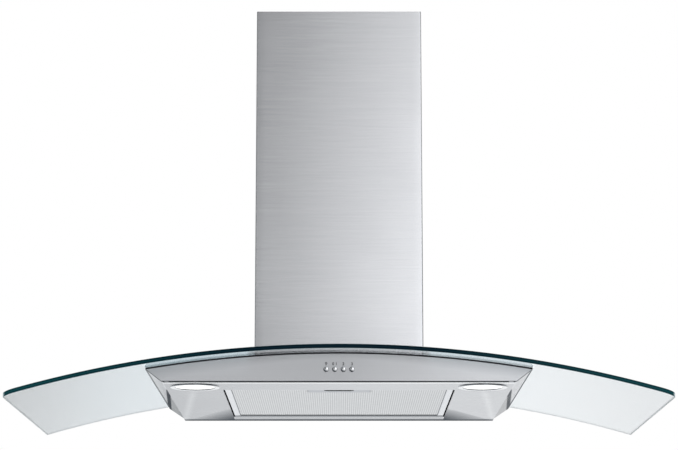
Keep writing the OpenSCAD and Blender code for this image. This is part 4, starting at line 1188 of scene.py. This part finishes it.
KEY_FRONT = low("button_lamp").y
KEY_BACK = FRONT + 4 * MM
STEM_END = high("button_lamp").y
STEM_R = 1.6 * MM
DOME_H = 1.6 * MM
BLOCK_FRONT = KEY_BACK + 9 * MM
STEM_CUT = 0.3 * MM
dome = [(KEY_R * math.sin(t), KEY_FRONT + DOME_H * (1 - math.cos(t))) for t in quarter(10)]
key_profile = [
    *dome, (KEY_R, KEY_BACK), (STEM_R, KEY_BACK), (STEM_R, STEM_END - STEM_CUT),
    (STEM_R - STEM_CUT, STEM_END), (0, STEM_END),
]


def coil(x, z, y0, y1, r, wire, count):
    """A compression spring along Y with its end turns closed."""
    per_turn, path = 20, []
    steps = count * per_turn
    for k in range(steps + 1):
        t = k / steps
        eased = min(1, max(0, (t * count - 0.9) / (count - 1.8)))
        y = y0 + wire + (y1 - y0 - 2 * wire) * (0.06 * t + 0.94 * eased)
        a = 2 * math.pi * k / per_turn
        path.append(Vector((x + r * math.cos(a), y, z + r * math.sin(a))))
    return tube(path, wire)


COIL_R = 2.2 * MM
COIL_WIRE = 0.3 * MM
COIL_TURNS = 6
for i, name in enumerate(KEYS):
    def at_key(u, v, along, x=KEY_X[i]):
        return (x + u, along, up(H_KEY) + v)

    piece(
        name + "_cap", lathe(key_profile, at_key, 64), [chrome_key], body=KEY_BODIES[i],
        stands_for=[name], angle=40,
    )
    spring = piece(
        name + "_coil", coil(KEY_X[i], up(H_KEY), KEY_BACK, BLOCK_FRONT, COIL_R, COIL_WIRE, COIL_TURNS),
        [spring_wire], stands_for=[KEY_SPRINGS[i]], angle=60,
    )
    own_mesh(spring)

# ---- the marks above the buttons

MARK_Z = up(H_KEY) + 5.6 * MM
MARK_SIZE = 5.4 * MM
INK = 0.06 * MM


def mark(name, words, x):
    text = bpy.data.curves.new(name, "FONT")
    text.body = words
    text.size = MARK_SIZE
    text.align_x = "CENTER"
    text.extrude = INK / 2
    text.offset = 0.1 * MM
    maker = bpy.data.objects.new(name + "_text", text)
    mesh = bpy.data.meshes.new_from_object(maker)
    bpy.data.objects.remove(maker)
    shape = bmesh.new()
    shape.from_mesh(mesh)
    bpy.data.meshes.remove(mesh)
    for vert in shape.verts:
        vert.co = Vector((x + vert.co.x, FRONT - INK / 2 - vert.co.z, MARK_Z + vert.co.y))
    piece(name, shape, [print_ink])


mark("mark_off_slow", "0 1", KEY_X[1])
mark("mark_2", "2", KEY_X[2])
mark("mark_3", "3", KEY_X[3])
BULB_R = 1.6 * MM
LINE_W = 0.4 * MM


def ink(outline, holes=()):
    """A printed shape, drawn from the foot of the marks over the lamp's button."""
    return plate(
        outline, holes, lambda u, v: (KEY_X[0] + u, FRONT, MARK_Z + v),
        lambda u, v: (KEY_X[0] + u, FRONT - INK, MARK_Z + v),
    )


BULB_Z = 2.5 * MM
CAP_HALF = 0.55 * MM
CAP_TOPS = (0.7 * MM, 0.05 * MM)
lamp_sign = [
    ink(round_hole(0, BULB_Z, BULB_R, 32), [round_hole(0, BULB_Z, BULB_R - 2 * LINE_W, 32)]),
    *[ink(rectangle(-CAP_HALF, top - LINE_W, CAP_HALF, top)) for top in CAP_TOPS],
]
piece("mark_lamp", joined(lamp_sign), [print_ink])

# ---- the latch spring and the leads

LATCH_BACK = high("latch_spring").y
latch_start = low("latch_spring").y
latch_h = H_LATCH + LATCH_T / 2
LATCH_COIL_R = 1.3 * MM
LATCH_WIRE = 0.25 * MM
LATCH_TURNS = 9
latch_coil = piece(
    "latch_coil",
    coil(0, up(latch_h), latch_start, LATCH_BACK, LATCH_COIL_R, LATCH_WIRE, LATCH_TURNS),
    [spring_wire], body="filter", stands_for=["latch_spring"], angle=60,
)
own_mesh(latch_coil)

LEAD_R = 1.5 * MM
LEAD_FLOOR = 2.8
LAMP = LAMP_X / MM
SOCKET_END = LAMP_Y / MM + 19.3
# Routes in mm, with heights above the underside, as in the part's source
to_socket = [
    (206, -290, LEAD_FLOOR), (203, -330, 3.4), (199, -355, 6), (LAMP, -375, 9), (LAMP, SOCKET_END, 9),
]
left_route = [
    (-LAMP, -150.3, 9), (-LAMP, -160, 9), (-199, -180, 6), (-203, -205, 3.4), (-206, -240, LEAD_FLOOR),
    *[(-x, y, h) for x, y, h in to_socket],
]
right_route = [
    (-LAMP, -59.7, 9), (-LAMP, -52, 9), (-195, -42, 6.4), (-189, -31, 3.6), (-176, -24, LEAD_FLOOR),
    (-150, -21, LEAD_FLOOR), (-75, -21, LEAD_FLOOR), (0, -21, LEAD_FLOOR), (75, -21, LEAD_FLOOR),
    (150, -21, LEAD_FLOOR), (176, -24, LEAD_FLOOR), (193, -34, LEAD_FLOOR), (203, -52, LEAD_FLOOR),
    (206, -80, LEAD_FLOOR), (206, -150, LEAD_FLOOR), (206, -220, LEAD_FLOOR), *to_socket,
]
motor_route = [
    (-101.3, -140, 199.7), (-101.3, -140, 192), (-97.5, -138.5, 186), (-93.5, -135.5, 181.5),
    (-88, -132, 178.5), (-80, -127, 175.5), (-72, -122, 173), (-65, -118, 172), (-58.3, -118, 172),
]


def lead(name, node, route):
    points = [Vector((x * MM, y * MM, up(h * MM))) for x, y, h in route]
    curve = bpy.data.curves.new(name, "CURVE")
    curve.dimensions = "3D"
    curve.bevel_depth = LEAD_R
    curve.bevel_resolution = 3
    curve.use_fill_caps = True
    spline = curve.splines.new("POLY")
    spline.points.add(len(points) - 1)
    for spot, point in zip(spline.points, points):
        spot.co = (*point, 1)
    curve.materials.append(lead_sheath)
    obj = linked(name, curve)
    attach(obj, "root")
    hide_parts(node)


lead("lamp_lead_left_cord", "lamp_lead_left", left_route)
lead("lamp_lead_right_cord", "lamp_lead_right", right_route)
lead("motor_lead_cord", "motor_lead", motor_route)

# ---- floor, lights and camera


def floor_finish():
    f = Finish("floor_paint")
    cloud = f.noise(0.7, 3)
    tone = f.blend(f.spread(cloud, 0, 1), rgb(0.82, 0.82, 0.82), rgb(0.83, 0.83, 0.83))
    return f.end(
        Base_Color=tone, Roughness=f.spread(cloud, 0.6, 0.8), Emission_Color=tone,
        Emission_Strength=0.68,
    )


FLOOR_Z = -7.5
FLOOR_HALF = 200
floor_plan = rectangle(-FLOOR_HALF, -FLOOR_HALF, FLOOR_HALF, FLOOR_HALF)
floor_mesh = bpy.data.meshes.new("studio_floor")
floor_mesh.from_pydata([(x, y, FLOOR_Z) for x, y in floor_plan], [], [(0, 1, 2, 3)])
floor_mesh.materials.append(floor_finish())
floor = linked("studio_floor", floor_mesh)

# Brightness of the room in front: left of the middle, right of it, far to the right, and what
# is added far to the left
FRONT_DARK = 0.26
FRONT_LIGHT = 1.95
FRONT_SIDE = 0.66
FRONT_LEFT = 0.36
# Behind: on the left, on the right, and what the left corner loses (the right one loses half)
BACK_DARK = 0.53
BACK_LIGHT = 0.82
BACK_CORNER = -0.46


def studio_world():
    """White behind the object. Round it: a soft room, brighter in front, on the right and low
    down, and bluish behind on the left."""
    world = bpy.data.worlds.new("studio")
    bpy.context.scene.world = world
    world.use_nodes = True
    tree = world.node_tree
    tree.nodes.clear()

    def node(kind, inputs=None, **settings):
        return add_node(tree, kind, inputs, **settings)

    def ramp(value, from_low, from_high, to_low, to_high, course="SMOOTHSTEP"):
        made = node("MapRange", {
            "Value": value, "From Min": from_low, "From Max": from_high,
            "To Min": to_low, "To Max": to_high,
        }, interpolation_type=course)
        return made.outputs[0]

    def plus(first, second):
        return node("Math", {0: first, 1: second}, operation="ADD").outputs[0]

    def times(first, second):
        return node("Math", {0: first, 1: second}, operation="MULTIPLY").outputs[0]

    x, y, z = node("SeparateXYZ", {0: node("TexCoord").outputs["Generated"]}).outputs
    across = ramp(x, -0.07, 0.10, FRONT_DARK, FRONT_LIGHT)
    aside = plus(ramp(x, -0.3, -0.12, FRONT_LEFT, 0), ramp(x, 0.2, 0.45, 0, FRONT_SIDE - FRONT_LIGHT))
    height = times(ramp(z, 0.2, 0.33, 1.0, 0.35), ramp(z, 0.13, 0.19, 0.93, 1.0))
    in_front = times(plus(across, aside), height)
    left = times(ramp(x, -0.16, -0.08, BACK_CORNER, 0), ramp(x, -0.27, -0.17, 0, 1))
    right = times(ramp(x, 0.08, 0.16, 0, BACK_CORNER / 2), ramp(x, 0.17, 0.27, 1, 0))
    behind = plus(ramp(x, -0.12, 0.08, BACK_DARK, BACK_LIGHT, "LINEAR"), plus(left, right))
    to_back = ramp(y, -0.25, 0.25, 0, 1)
    strength = node("Mix", {0: to_back, 2: in_front, 3: behind}).outputs[0]
    bluish = times(to_back, ramp(x, -0.1, 0.15, 1, 0))
    tints = {0: bluish, 6: rgb(0.985, 0.99, 1.0), 7: rgb(0.8, 0.93, 1.0)}
    colour = node("Mix", tints, data_type="RGBA")
    room = node("Background", {"Color": colour.outputs[2], "Strength": strength})
    paper = node("Background", {"Color": rgb(1, 1, 1), "Strength": 1.0})
    seen = node("LightPath").outputs["Is Camera Ray"]
    mixed = node("MixShader", {0: seen, 1: room.outputs[0], 2: paper.outputs[0]})
    node("OutputWorld", {"Surface": mixed.outputs[0]})


studio_world()
LIGHT_SIZE = (2.8, 2.2)
LIGHT_AIM = Vector((0, -0.2, 0))


def soft_light(name, place, watts):
    light = bpy.data.lights.new(name, "AREA")
    light.shape = "RECTANGLE"
    light.size, light.size_y = LIGHT_SIZE
    light.energy = watts
    obj = linked(name, light)
    obj.location = place
    obj.rotation_mode = "QUATERNION"
    obj.rotation_quaternion = (LIGHT_AIM - Vector(place)).to_track_quat("-Z", "Y")


soft_light("key", (2.2, -2.6, 1.6), 30)
soft_light("fill", (-2.4, -2.2, 0.6), 10)

CAMERA_Y = -3.495
CAMERA_Z = -0.6425
CAMERA_RISE = 11.33
FOCAL_LENGTH = 120.7
SENSOR_WIDTH = 36
view = bpy.data.cameras.new("camera")
view.lens = FOCAL_LENGTH
view.sensor_width = SENSOR_WIDTH
camera = linked("camera", view)
camera.location = (0, CAMERA_Y, CAMERA_Z)
camera.rotation_euler = (math.radians(90 + CAMERA_RISE), 0, 0)
bpy.context.scene.camera = camera
bpy.context.scene.view_settings.view_transform = "Standard"
